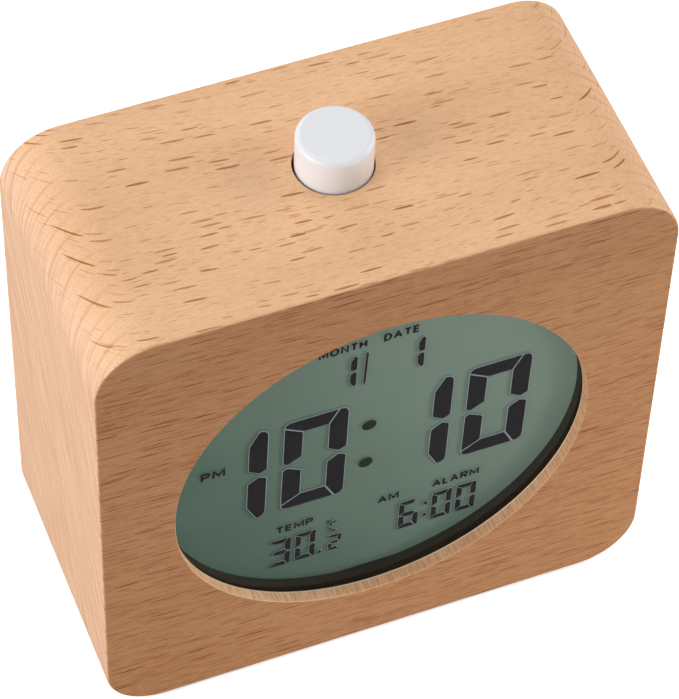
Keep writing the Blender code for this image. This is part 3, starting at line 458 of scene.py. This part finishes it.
def rounded_square(size, radius, middle, along_side=8, along_corner=16):
    """Points of a rounded square, anticlockwise from the middle of its right side."""
    half = size / 2
    flat = half - radius
    side = [(half, flat * i / along_side) for i in range(along_side)]
    for i in range(along_corner + 1):
        angle = math.pi / 2 * i / along_corner
        side.append((flat + radius * math.cos(angle), flat + radius * math.sin(angle)))
    side += [(flat * (1 - i / along_side), half) for i in range(1, along_side)]
    points = []
    for quarter in range(4):
        turn = Matrix.Rotation(math.pi / 2 * quarter, 2)
        points += [turn @ Vector(point) + Vector(middle) for point in side]
    return points


def circle(radius, middle, steps):
    u, v = middle
    angles = [math.tau * i / steps for i in range(steps)]
    return [Vector((u + radius * math.cos(a), v + radius * math.sin(a))) for a in angles]


def dot(x, z, radius, steps=24):
    """Outline of a round dot on a flat face."""
    return [tuple(point) for point in circle(radius, (x, z), steps)]


def ring_of_rings(rings):
    """Points and faces of a closed tube of rings that all have the same number of points."""
    points = [point for ring in rings for point in ring]
    steps = len(rings[0])
    faces = []
    for index in range(len(rings)):
        near = index * steps
        far = (index + 1) % len(rings) * steps
        for i in range(steps):
            j = (i + 1) % steps
            faces.append((near + i, near + j, far + j, far + i))
    return points, faces


def turned(name, profile, centre, body, steps=96):
    """A solid turned about Z. Its profile runs from pole to pole as (radius, height from centre)."""
    points, rings, faces = [], [], []
    for radius, height in profile:
        count = 1 if radius == 0 else steps
        rings.append(list(range(len(points), len(points) + count)))
        ring = circle(radius, (0, 0), steps)[:count]
        points += [Vector(centre) + Vector((u, v, height)) for u, v in ring]
    for near, far in zip(rings, rings[1:]):
        for i in range(steps):
            j = (i + 1) % steps
            corners = [near[i % len(near)], near[j % len(near)], far[j % len(far)], far[i % len(far)]]
            faces.append(list(dict.fromkeys(corners)))
    piece = add_mesh(name, points, faces, body)
    smooth(piece)
    return piece


def rounded_edge(radius, height, rim, steps=10):
    """Profile points round an outer edge, from the side at radius to the face at height."""
    points = []
    for i in range(steps + 1):
        angle = math.pi / 2 * i / steps
        points.append((radius - rim * (1 - math.cos(angle)), height - rim * (1 - math.sin(angle))))
    return points


def cut_round(piece, radius, centre, length):
    """Cuts a round upright hole into the mesh itself, so that no cutter stays in the scene."""
    profile = [(0, 0), (radius, 0), (radius, length), (0, length)]
    cutter = turned("cutter", profile, centre, None)
    cutter.modifiers.clear()
    boolean = piece.modifiers.new("hole", "BOOLEAN")
    boolean.object = cutter
    boolean.solver = "EXACT"
    evaluated = piece.evaluated_get(bpy.context.evaluated_depsgraph_get())
    settled = bpy.data.meshes.new_from_object(evaluated)
    piece.modifiers.remove(boolean)
    piece.data = settled
    bpy.data.objects.remove(cutter)


def plates(name, shapes, front, thickness):
    """Flat shapes in the XZ plane, each a closed outline, given a thickness towards +Y."""
    points, faces = [], []
    for shape in shapes:
        first = len(points)
        count = len(shape)
        points += [(x, front, z) for x, z in shape] + [(x, front + thickness, z) for x, z in shape]
        faces.append(list(range(first, first + count)))
        faces.append(list(range(first + count, first + 2 * count)))
        for i in range(count):
            j = (i + 1) % count
            faces.append((first + i, first + j, first + count + j, first + count + i))
    return add_mesh(name, points, faces)


# ---------------------------------------------------------------- the wooden block


def make_block(material):
    """One loop of rings runs over the outside, in at the back, and out again through the window."""
    middle = (0.0, MIDDLE)
    side = CASE_HIGH.x - CASE_LOW.x
    eased = [math.pi / 2 * i / EDGE_STEPS for i in range(EDGE_STEPS + 1)]
    rings = []

    def loop(points, y):
        rings.append([Vector((u, y, v)) for u, v in points])

    def square(size, corner, y):
        loop(rounded_square(size, corner, middle), y)

    def outside(inset, y):
        square(side - 2 * inset, CASE_CORNER - inset, y)

    for angle in eased:
        outside(CASE_EASING * (1 - math.sin(angle)), FRONT + CASE_EASING * (1 - math.cos(angle)))
    for angle in eased:
        outside(CASE_EASING * (1 - math.cos(angle)), BACK - CASE_EASING * (1 - math.sin(angle)))
    square(REBATE_SIDE + 2 * REBATE_LIP, REBATE_CORNER + REBATE_LIP, BACK)
    square(REBATE_SIDE, REBATE_CORNER, BACK - REBATE_LIP)
    square(REBATE_SIDE, REBATE_CORNER, BACK - REBATE_DEPTH)
    square(CAVITY_SIDE, CAVITY_CORNER, BACK - REBATE_DEPTH)
    square(CAVITY_SIDE, CAVITY_CORNER, FRONT + WINDOW_WALL)
    steps = len(rings[0])
    loop(circle(WINDOW_RADIUS, middle, steps), FRONT + WINDOW_WALL)
    for angle in eased:
        radius = WINDOW_RADIUS + WINDOW_EASING * (1 - math.cos(angle))
        loop(circle(radius, middle, steps), FRONT + WINDOW_EASING * (1 - math.sin(angle)))
    block = add_mesh("beech_block", *ring_of_rings(rings))

    # The button's hole goes right through the top, and each foot stands in a shallow one.
    button_x = (SNOOZE_LOW.x + SNOOZE_HIGH.x) / 2
    button_y = (SNOOZE_LOW.y + SNOOZE_HIGH.y) / 2
    hole_start = (button_x + SNOOZE_HOLE_SHIFT, button_y, TOP - SNOOZE_HOLE_DEPTH)
    cut_round(block, SNOOZE_HOLE, hole_start, SNOOZE_HOLE_LENGTH)
    for number in range(1, 5):
        low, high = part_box(f"foot_{number}")
        start = ((low.x + high.x) / 2, (low.y + high.y) / 2, -FOOT_CUT_BELOW)
        cut_round(block, (high.x - low.x) / 2 + FOOT_GAP, start, high.z + FOOT_CUT_BELOW + FOOT_GAP)
    smooth(block)
    dress(block, material)
    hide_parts("wood_case")


# ---------------------------------------------------------------- the display

DISPLAY_SHIFT = -0.8 * MM  # the display's middle, measured from the window's
PANEL_CORNER = 6 * MM
PRINT_THICKNESS = 0.04 * MM
PRINT_DEPTH = 0.02 * MM  # from the panel's front to the segments
LINE_DEPTH = 0.08 * MM  # from the panel's front to the pale lines round the segments
SHADOW_DEPTH = 0.5 * MM  # from the panel's front to the reflecting layer
LEAN = 0.023  # sideways slope of all digits and signs
SEGMENT_GAP = 0.32
OUTLINE = 0.12  # how far the pale lines reach beyond the large segments
BEAD_FRONT = FRONT + WINDOW_WALL + 0.02 * MM
BEAD_BACK = LENS_FRONT - 0.01 * MM
BEAD_INNER = WINDOW_RADIUS + 0.06 * MM
BEAD_OUTER = WINDOW_RADIUS + 0.5 * MM
BEAD_CHAMFER = 0.04 * MM
BEAD_STEPS = 192

# Painted soft shadows behind the segments, as dimmed copies of the layer: shift, depth in millimetres,
# and brightness of each copy.
SHADOWS = ((0.28, 0.13, 0.66), (0.42, 0.18, 0.77), (0.56, 0.23, 0.89))
SHADOW_DROP = 0.2
SHADOW_SLOPE = 0.8  # further drop for each millimetre of depth

SEGMENTS = {"0": "abcdef", "1": "bc", "2": "abged", "3": "abgcd", "6": "afgedc", "C": "afed"}
BIG_DIGIT = {"width": 11.6, "height": 24.5, "bar": 3.55, "pitch": 14.25}
SMALL_DIGIT = {"width": 3.85, "height": 7.9, "bar": 1.2, "pitch": 4.6}
TINY_DIGIT = {"width": 2.5, "height": 4.5, "bar": 0.8, "pitch": 3.0}
DATE_DIGIT = {"width": 4.6, "height": 8.0, "bar": 1.3, "pitch": 6.0}
UNIT_SIGN = {"width": 1.7, "height": 3.1, "bar": 0.5, "pitch": 3.0}

# What each row of digits says, its right end, its foot and its size. All places on the display are
# in millimetres from its middle.
DIGIT_ROWS = {
    "lcd_time": (("10", -3.6, -13.55, BIG_DIGIT), ("10", 29.5, -13.55, BIG_DIGIT)),
    "lcd_alarm_time": (("00", 21.85, -30.1, SMALL_DIGIT), ("6", 11.1, -30.1, SMALL_DIGIT)),
    "lcd_temperature": (("30", -8.15, -30.1, SMALL_DIGIT), ("2", -3.3, -30.1, TINY_DIGIT),
                        ("C", -4.0, -24.5, UNIT_SIGN)),
    "lcd_date": (("1", -2.8, 16.0, DATE_DIGIT), ("1", 9.2, 16.0, DATE_DIGIT)),
}
DIGIT_DOTS = {  # middle and radius of the round dots among the digits
    "lcd_alarm_time": ((12.3, -24.5, 0.4), (12.3, -28.0, 0.4)),
    "lcd_temperature": ((-7.3, -29.6, 0.36),),
}
COLON_DOTS = ((0.2, 3.7, 1.3), (0.1, -6.8, 1.3))
DATE_SLASH = [(-1.58, 15.9), (-1.18, 15.9), (-0.98, 24.1), (-1.38, 24.1)]
DEGREE_RING = (-6.0, -21.2, 0.28)
DEGREE_WIDTH = 0.14

# Each label's left end, foot, height and width.
LABELS = {
    "PM": (-29.8, 1.5, 2.3, 4.4),
    "AM": (3.0, -20.4, 1.95, 4.0),
    "ALARM": (13.2, -20.4, 1.95, 8.8),
    "TEMP": (-15.75, -20.3, 1.9, 6.9),
    "DATE": (1.5, 25.75, 1.95, 6.35),
    "MONTH": (-9.9, 25.75, 1.95, 8.5),
}

# Width of each plain capital, and its strokes in a unit box. A stroke that ends where it starts is
# a closed ring.
BOWL = [(0, 1), (0.6, 1), (0.9, 0.93), (1, 0.75), (0.9, 0.56), (0.6, 0.48), (0, 0.48)]
OVAL = dot(0.5, 0.5, 0.5, steps=20)
HALF_ROUND = [(0.5, 1), (0.88, 0.82), (1, 0.5), (0.88, 0.18), (0.5, 0)]
LETTERS = {
    "A": (1.05, [[(0, 0), (0.5, 1), (1, 0)], [(0.2, 0.34), (0.8, 0.34)]]),
    "D": (0.95, [[(0, 0), (0, 1), *HALF_ROUND, (0, 0)]]),
    "E": (0.8, [[(1, 1), (0, 1), (0, 0), (1, 0)], [(0, 0.5), (0.9, 0.5)]]),
    "H": (0.92, [[(0, 0), (0, 1)], [(1, 0), (1, 1)], [(0, 0.5), (1, 0.5)]]),
    "L": (0.72, [[(0, 1), (0, 0), (1, 0)]]),
    "M": (1.15, [[(0, 0), (0, 1), (0.5, 0.22), (1, 1), (1, 0)]]),
    "N": (0.95, [[(0, 0), (0, 1), (1, 0), (1, 1)]]),
    "O": (1.1, [[*OVAL, OVAL[0]]]),
    "P": (0.85, [[(0, 0), *BOWL]]),
    "R": (0.92, [[(0, 0), *BOWL], [(0.5, 0.48), (1, 0)]]),
    "T": (0.9, [[(0, 1), (1, 1)], [(0.5, 1), (0.5, 0)]]),
}
LETTER_STROKE = 0.22  # of the letters' height
LETTER_SPACE = 0.15  # of a plain letter's width


def on_display(x, z):
    """A point of the display, given in millimetres from its middle and leaning like the digits."""
    return (DISPLAY_SHIFT + (x + LEAN * z) * MM, MIDDLE + z * MM)


def arc(start, corner, end, steps=5):
    """Points of a curve from start to end that rounds the corner between them."""
    points = []
    for i in range(steps + 1):
        t = i / steps
        ways = (((1 - t) ** 2, start), (2 * t * (1 - t), corner), (t**2, end))
        points.append(tuple(sum(weight * point[k] for weight, point in ways) for k in (0, 1)))
    return points


def segment_forms(width, height, bar):
    """Outlines of the seven segments as if they touched, anticlockwise, in a box at the origin.

    The left corners are split on the side and the right corners on the top and bottom, and the
    upright segments end in off-centre points at half height.
    """
    half = height / 2
    right, top = width - bar, height - bar
    split = 0.5 * bar
    side_split = 0.36 * bar
    outer_tip = width - 0.42 * bar
    b = [*arc((width, height - split), (width, height), (width - split, height)), (right, top),
         (right, half + 0.51 * bar), (outer_tip, half + 0.1 * bar), (width, half + 0.33 * bar)]
    f = [(0, height - side_split), (0, half + 0.27 * bar), (0.26 * bar, half + 0.1 * bar),
         (bar, half + 0.55 * bar), (bar, top)]
    a = [(width - split, height), *arc((0.45 * bar, height), (0, height), (0, height - side_split)),
         (bar, top), (right, top)]
    d = [(bar, bar), *arc((0, side_split), (0, 0), (split, 0)), (width - split, 0), (right, bar)]
    g = [(0.26 * bar, half), (bar, half - split), (right, half - split), (outer_tip, half),
         (right, half + split), (bar, half + split)]

    def over(shape):
        return [(u, height - v) for u, v in reversed(shape)]

    return {"a": a, "b": b, "c": over(b), "d": d, "e": over(f), "f": f, "g": g}


def grown(shape, amount):
    """The outline moved outwards by amount, or inwards where it is negative."""
    moved = []
    for before, here, after in zip(shape[-1:] + shape[:-1], shape, shape[1:] + shape[:1]):
        back = (Vector(here) - Vector(before)).normalized()
        ahead = (Vector(after) - Vector(here)).normalized()
        side = Vector((back.y + ahead.y, -back.x - ahead.x)).normalized()
        stretch = max(0.5, side.dot(Vector((ahead.y, -ahead.x))))
        moved.append(tuple(Vector(here) + side * amount / stretch))
    return moved


def number_shapes(text, right, bottom, width, height, bar, pitch):
    """Outlines of a row of digits that ends at right."""
    shapes = []
    forms = segment_forms(width, height, bar)
    gap = SEGMENT_GAP * (0.4 + 0.6 * bar / BIG_DIGIT["bar"])
    for place, sign in enumerate(reversed(text)):
        left = right - width - place * pitch
        for letter in SEGMENTS[sign]:
            shapes.append([(left + u, bottom + v) for u, v in grown(forms[letter], -gap / 2)])
    return shapes


def stroke_quads(points, width):
    """Quads that follow a stroke. Where two runs meet, they share a mitred edge."""
    closed = points[0] == points[-1]
    spots = [Vector(point) for point in (points[:-1] if closed else points)]
    edges = []
    for i, spot in enumerate(spots):
        before = spots[i - 1] if closed or i else None
        after = spots[(i + 1) % len(spots)] if closed or i < len(spots) - 1 else None
        back = (spot - before).normalized() if before is not None else None
        ahead = (after - spot).normalized() if after is not None else back
        back = back or ahead
        side = Vector((-back.y - ahead.y, back.x + ahead.x)).normalized()
        reach = width / 2 / max(0.55, side.dot(Vector((-ahead.y, ahead.x))))
        edges.append((tuple(spot + side * reach), tuple(spot - side * reach)))
    if closed:
        edges.append(edges[0])
    return [[a[1], b[1], b[0], a[0]] for a, b in zip(edges, edges[1:])]


def label_shapes(words, left, foot, height, width):
    """Quads of plain capitals, standing on foot and filling the width from left."""
    thick = LETTER_STROKE * height
    widths = [LETTERS[letter][0] for letter in words]
    unit = width / (sum(widths) + LETTER_SPACE * (len(words) - 1))
    shapes = []
    for letter, wide in zip(words, widths):
        span, rise = wide * unit - thick, height - thick
        for line in LETTERS[letter][1]:
            points = [(left + thick / 2 + u * span, foot + thick / 2 + v * rise) for u, v in line]
            shapes += stroke_quads(points, thick)
        left += (wide + LETTER_SPACE) * unit
    return shapes


def print_on_display(name, shapes, depth, material):
    placed = [[on_display(*point) for point in shape] for shape in shapes]
    piece = plates(name, placed, PANEL_LOW.y + depth, PRINT_THICKNESS)
    dress(piece, material)


def display_numbers():
    """Outlines of the digits, by the name of the piece that they belong to."""
    numbers = {}
    for name, rows in DIGIT_ROWS.items():
        numbers[name] = [dot(*place, steps=12) for place in DIGIT_DOTS.get(name, ())]
        for text, right, bottom, size in rows:
            numbers[name] += number_shapes(text, right, bottom, **size)
    numbers["lcd_date"].append(DATE_SLASH)
    return numbers


def make_segments(ink, green_ink, edge_line):
    numbers = display_numbers()
    words = []
    for label, place in LABELS.items():
        words += label_shapes(label, *place)
    degree = dot(*DEGREE_RING, steps=12)
    words += stroke_quads([*degree, degree[0]], DEGREE_WIDTH)
    for name, shapes in numbers.items():
        print_on_display(name, shapes, PRINT_DEPTH, ink)
    print_on_display("lcd_words", words, PRINT_DEPTH, ink)
    print_on_display("lcd_colon", [dot(*place) for place in COLON_DOTS], PRINT_DEPTH, green_ink)
    lines = []
    for name, shapes in numbers.items():
        reach = OUTLINE if name == "lcd_time" else OUTLINE / 2
        lines += [grown(shape, reach) for shape in shapes]
    print_on_display("lcd_edge_lines", lines, LINE_DEPTH, edge_line)
    every_shape = [shape for shapes in numbers.values() for shape in shapes]
    # Painted shadows: dimmed copies of the reflecting layer, shifted left and down behind the
    # segments.
    for number, (shift, depth, painted_shadow_dimming) in enumerate(SHADOWS, 1):
        drop = SHADOW_DROP + SHADOW_SLOPE * depth
        shadows = [[(u - shift, v - drop) for u, v in shape] for shape in every_shape]
        shade = lcd_layer(f"lcd_shade_{number}", painted_shadow_dimming)
        print_on_display(f"lcd_shadow_{number}", shadows, depth * MM, shade)


def make_reflecting_layer(material):
    size = PANEL_HIGH.x - PANEL_LOW.x
    sheet = rounded_square(size, PANEL_CORNER, (0.0, MIDDLE))
    front = PANEL_LOW.y + SHADOW_DEPTH
    layer = plates("lcd_reflecting_layer", [sheet], front, PANEL_HIGH.y - front)
    dress(layer, material)
    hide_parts("lcd_panel")


def make_lens_bead(material):
    """The lens is bedded on a pale bead, which shows as a thin line inside the window."""
    profile = [(BEAD_INNER, BEAD_BACK), (BEAD_INNER + BEAD_CHAMFER, BEAD_FRONT),
               (BEAD_OUTER, BEAD_FRONT), (BEAD_OUTER, BEAD_BACK)]
    rings = []
    for radius, y in profile:
        rings.append([Vector((u, y, v)) for u, v in circle(radius, (0.0, MIDDLE), BEAD_STEPS)])
    bead = add_mesh("lens_bead", *ring_of_rings(rings))
    smooth(bead)
    dress(bead, material)


# ---------------------------------------------------------------- button and back

SIGN_RISE = 2.7 * MM  # from the top of a rear key to the middle of its sign
SIGN_SUNK = 0.02 * MM
SIGN_THICKNESS = 0.07 * MM
SIGN_LINE = 0.22
COIL_STEPS = 160
WIRE_STEPS = 8


def make_snooze_cap(material):
    centre = ((SNOOZE_LOW.x + SNOOZE_HIGH.x) / 2, (SNOOZE_LOW.y + SNOOZE_HIGH.y) / 2, 0.0)
    low, high = SNOOZE_LOW.z, SNOOZE_HIGH.z
    roof = high - SNOOZE_ROOF
    flange = (SNOOZE_HIGH.x - SNOOZE_LOW.x) / 2
    flange_top = MIDDLE + CAVITY_SIDE / 2 - SNOOZE_GAP
    flange_low = flange_top - SNOOZE_FLANGE
    profile = [(0, low), (SNOOZE_STEM, low), (SNOOZE_STEM, roof), (SNOOZE_BORE, roof),
               (SNOOZE_BORE, flange_low), (flange, flange_low), (flange, flange_top),
               (SNOOZE_RADIUS, flange_top), *rounded_edge(SNOOZE_RADIUS, high, SNOOZE_RIM), (0, high)]
    cap = turned("snooze_cap", profile, centre, "snooze_key")
    dress(cap, material)
    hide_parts("snooze_button")


def make_snooze_spring(material):
    """The coil spring under the button's flange."""
    low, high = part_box("snooze_spring")
    foot = Vector(((low.x + high.x) / 2, (low.y + high.y) / 2, low.z + SPRING_WIRE))
    coil_radius = (high.x - low.x) / 2 - SPRING_WIRE
    rise = high.z - low.z - 2 * SPRING_WIRE
    section = circle(SPRING_WIRE, (0, 0), WIRE_STEPS)
    upward = Vector((0.0, 0.0, 1.0))
    rings = []
    for i in range(COIL_STEPS + 1):
        turn = math.tau * SPRING_TURNS * i / COIL_STEPS
        outward = Vector((math.cos(turn), math.sin(turn), 0.0))
        middle = foot + outward * coil_radius + upward * (rise * i / COIL_STEPS)
        rings.append([middle + outward * u + upward * v for u, v in section])
    points, faces = ring_of_rings(rings)
    end = COIL_STEPS * WIRE_STEPS
    faces[-WIRE_STEPS:] = [list(range(WIRE_STEPS)), list(range(end, end + WIRE_STEPS))]
    spring = add_mesh("return_spring", points, faces)
    smooth(spring)
    dress(spring, material)
    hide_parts("snooze_spring")
    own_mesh(spring)


def circle_sign(radius, width):
    points = dot(0.0, 0.0, radius, steps=32)
    return stroke_quads([*points, points[0]], width)


def clock_sign():
    hands = stroke_quads([(0.0, 0.75), (0.0, 0.0), (0.6, -0.3)], SIGN_LINE)
    return circle_sign(1.2, 0.24) + hands


def bell_sign():
    angles = [math.pi * i / 16 for i in range(17)]
    dome = [(0.75 * math.cos(angle), 0.2 + 0.75 * math.sin(angle)) for angle in angles]
    rim = [(0.75, -0.3), (1.15, -0.68), (1.15, -0.85)]
    body = [*reversed(rim), *dome, *((-u, v) for u, v in rim)]
    return [body, dot(0.0, -1.12, 0.2, 16), dot(0.0, 1.08, 0.16, 16)]


def arrow_sign(way):
    return [[(-1.1, -0.85 * way), (1.1, -0.85 * way), (0.0, 0.95 * way)][::way]]


def off_and_on_signs():
    left, right, half_height = -3.11, -2.89, 0.8
    bar = [(left, -half_height), (right, -half_height), (right, half_height), (left, half_height)]
    return [*circle_sign(0.7, SIGN_LINE), bar]


def make_back_signs(material):
    """Plain signs printed on the back cover, over the keys and the alarm switch."""
    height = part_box("time_button")[1].z + SIGN_RISE
    signs = {"time_button": clock_sign(), "alarm_button": bell_sign(), "up_button": arrow_sign(1),
             "down_button": arrow_sign(-1), "alarm_switch_knob": off_and_on_signs()}
    for node, shapes in signs.items():
        low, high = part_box(node)
        middle = (low.x + high.x) / 2
        placed = [[(middle - u * MM, height + v * MM) for u, v in shape] for shape in shapes]
        name = node.replace("_knob", "") + "_sign"
        sign = plates(name, placed, COVER_BACK - SIGN_SUNK, SIGN_THICKNESS)
        dress(sign, material)


# ---------------------------------------------------------------- stage, lights and camera


def make_stage():
    half = 6.0
    points = [(-half, -half, 0), (half, -half, 0), (half, half, 0), (-half, half, 0)]
    floor = add_mesh("studio_floor", points, [(0, 1, 2, 3)], None)
    pale = Shader("studio_floor")
    pale.set(base_color=(0.98, 0.97, 0.95), roughness=0.9, specular_ior_level=0.0)
    pale.set(emission_color=(0.50, 0.52, 0.54), emission_strength=1.0)
    bounce = pale.node("ShaderNodeBsdfDiffuse", {"Color": (0.42, 0.36, 0.30, 1.0)})
    seen = pale.node("ShaderNodeLightPath").outputs["Is Camera Ray"]
    choice = {0: seen, 1: bounce.outputs[0], 2: pale.surface.outputs[0]}
    either = pale.node("ShaderNodeMixShader", choice)
    pale.feed(pale.output.inputs["Surface"], either.outputs[0])
    dress(floor, pale.material)


def area_light(name, place, target, size, power, colour):
    light = bpy.data.lights.new(name, "AREA")
    light.shape = "DISK"
    light.size = size
    light.energy = power
    light.color = colour
    lamp = bpy.data.objects.new(name, light)
    lamp.location = place
    lamp.visible_camera = False
    lamp.rotation_euler = (Vector(target) - Vector(place)).to_track_quat("-Z", "Y").to_euler()
    bpy.context.scene.collection.objects.link(lamp)


def make_lights():
    centre = (0.0, 0.0, MIDDLE)
    window_foot = (0.03, FRONT, 0.03)
    cool, neutral, warm = (1.0, 0.98, 0.97), (1.0, 0.98, 0.96), (1.0, 0.97, 0.93)
    amber = (1.0, 0.94, 0.86)
    area_light("left", (-0.87, -0.11, 0.36), centre, size=0.7, power=6.7, colour=cool)
    area_light("right", (0.83, -0.10, 0.42), centre, size=0.6, power=3.7, colour=warm)
    area_light("overhead", (0.05, 0.25, 1.1), centre, size=0.9, power=2.65, colour=neutral)
    area_light("back", (-0.10, 0.95, 0.45), centre, size=0.7, power=2.3, colour=neutral)
    area_light("low", (0.19, -0.28, 0.03), window_foot, size=0.15, power=0.42, colour=amber)


def make_world():
    """Soft white light from all round, which the camera itself sees as a pale backdrop."""
    world = bpy.data.worlds.new("studio")
    bpy.context.scene.world = world
    world.use_nodes = True
    tree = world.node_tree
    soft = tree.nodes["Background"]
    soft.inputs["Color"].default_value = (1.0, 1.0, 1.0, 1.0)
    soft.inputs["Strength"].default_value = 0.32
    backdrop = tree.nodes.new("ShaderNodeBackground")
    backdrop.inputs["Color"].default_value = (0.88, 0.88, 0.88, 1.0)
    path = tree.nodes.new("ShaderNodeLightPath")
    either = tree.nodes.new("ShaderNodeMixShader")
    tree.links.new(path.outputs["Is Camera Ray"], either.inputs[0])
    tree.links.new(soft.outputs[0], either.inputs[1])
    tree.links.new(backdrop.outputs[0], either.inputs[2])
    tree.links.new(either.outputs[0], tree.nodes["World Output"].inputs["Surface"])


# The camera looks down from the front left, a little rolled.
CAMERA_AIM = Vector((1.22 * MM, 0.0, 51.5 * MM + CASE_LOW.z))
CAMERA_AZIMUTH = -22.957
CAMERA_ELEVATION = 52.483
CAMERA_ROLL = 2.258
CAMERA_DISTANCE = 624.0 * MM
CAMERA_LENS = 188.2
CAMERA_SENSOR = 36.0


def make_camera():
    azimuth, elevation = math.radians(CAMERA_AZIMUTH), math.radians(CAMERA_ELEVATION)
    level = math.cos(elevation)
    back = Vector((math.sin(azimuth) * level, -math.cos(azimuth) * level, math.sin(elevation)))
    roll = Matrix.Rotation(math.radians(CAMERA_ROLL), 3, "Z").to_quaternion()
    data = bpy.data.cameras.new("camera")
    data.lens = CAMERA_LENS
    data.sensor_width = CAMERA_SENSOR
    data.clip_start = 0.05
    data.clip_end = 50.0
    camera = bpy.data.objects.new("camera", data)
    camera.rotation_mode = "QUATERNION"
    camera.rotation_quaternion = (-back).to_track_quat("-Z", "Y") @ roll
    camera.location = CAMERA_AIM + back * CAMERA_DISTANCE
    bpy.context.scene.collection.objects.link(camera)
    bpy.context.scene.camera = camera


# ---------------------------------------------------------------- finishes

BATTERY_PLUS = {"battery_1": 1.0, "battery_2": -1.0}  # the side that its plus end faces, along X

# Colour, roughness and other settings of the material slots. The wood, the display's glass, the
# clear plastic and the battery sleeves aren't here, because they have shaders of their own.
FINISHES = {
    "white_plastic": (srgb(236, 236, 234), 0.42, {"relief": 0.012 * MM}),
    "button_plastic": (srgb(235, 238, 243), 0.32, {"relief": 0.002 * MM}),
    "black_plastic": (srgb(50, 51, 45), 0.65, {"relief": 0.01 * MM, "specular_ior_level": 0.2}),
    "reflector": (srgb(190, 200, 192), 0.4, {}),
    "light_source": (srgb(245, 238, 190), 0.3, {}),
    "conductive_rubber": (srgb(190, 128, 142), 0.7, {}),
    "circuit_board": (srgb(28, 96, 56), 0.38, {"grain": 1.2 * MM}),
    "component": (srgb(30, 30, 33), 0.4, {}),
    "steel": (srgb(190, 190, 194), 0.28, {"metallic": 1.0, "grain": 0.4 * MM}),
    "nickel": (srgb(214, 208, 196), 0.2, {"metallic": 1.0, "grain": 0.4 * MM}),
    "red_wire": (srgb(184, 30, 28), 0.4, {}),
    "black_wire": (srgb(26, 26, 27), 0.4, {}),
    "grey_wire": (srgb(150, 150, 155), 0.5, {}),
    "soft_rubber": (srgb(58, 58, 60), 0.75, {"relief": 0.02 * MM}),
}
INK = {"roughness": 0.6, "specular_ior_level": 0.03}


def make_slot_materials():
    made = {}
    for name, (colour, roughness, settings) in FINISHES.items():
        made[name] = moulded(name, colour, roughness, **settings)
    made["clear_plastic"] = clear_sheet("clear_plastic", tint=(0.97, 0.985, 0.98), gloss=0.02,
                                        straight_on=0.006, at_edge=0.7)
    return made


def dress_nodes(materials):
    """CAD nodes get the finish of their slot, except for the batteries and the switch knob."""
    for entry in frame["record"]["subparts"]:
        if entry["material_slot"] in materials:
            dress(frame["nodes"][entry["node"]], materials[entry["material_slot"]])
    dress(frame["nodes"]["alarm_switch_knob"], moulded("knob_plastic", srgb(44, 45, 48), 0.45))
    for name, plus_side in BATTERY_PLUS.items():
        dress(frame["nodes"][name], battery(name, *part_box(name), plus_side))


slot_materials = make_slot_materials()
dress_nodes(slot_materials)
make_block(beech())
make_segments(moulded("lcd_ink", srgb(46, 46, 53), worn=0.1, **INK),
              moulded("lcd_colon_ink", srgb(46, 58, 44), worn=0.1, **INK),
              moulded("lcd_edge_line", srgb(198, 212, 228), **INK))
make_reflecting_layer(lcd_layer())
make_lens_bead(moulded("lens_bead", srgb(240, 218, 190), 0.5))
make_snooze_cap(slot_materials["button_plastic"])
make_snooze_spring(slot_materials["nickel"])
make_back_signs(moulded("sign_print", srgb(96, 98, 102), 0.5, specular_ior_level=0.2))
make_stage()
make_lights()
make_world()
make_camera()
bpy.context.scene.view_settings.view_transform = "Standard"
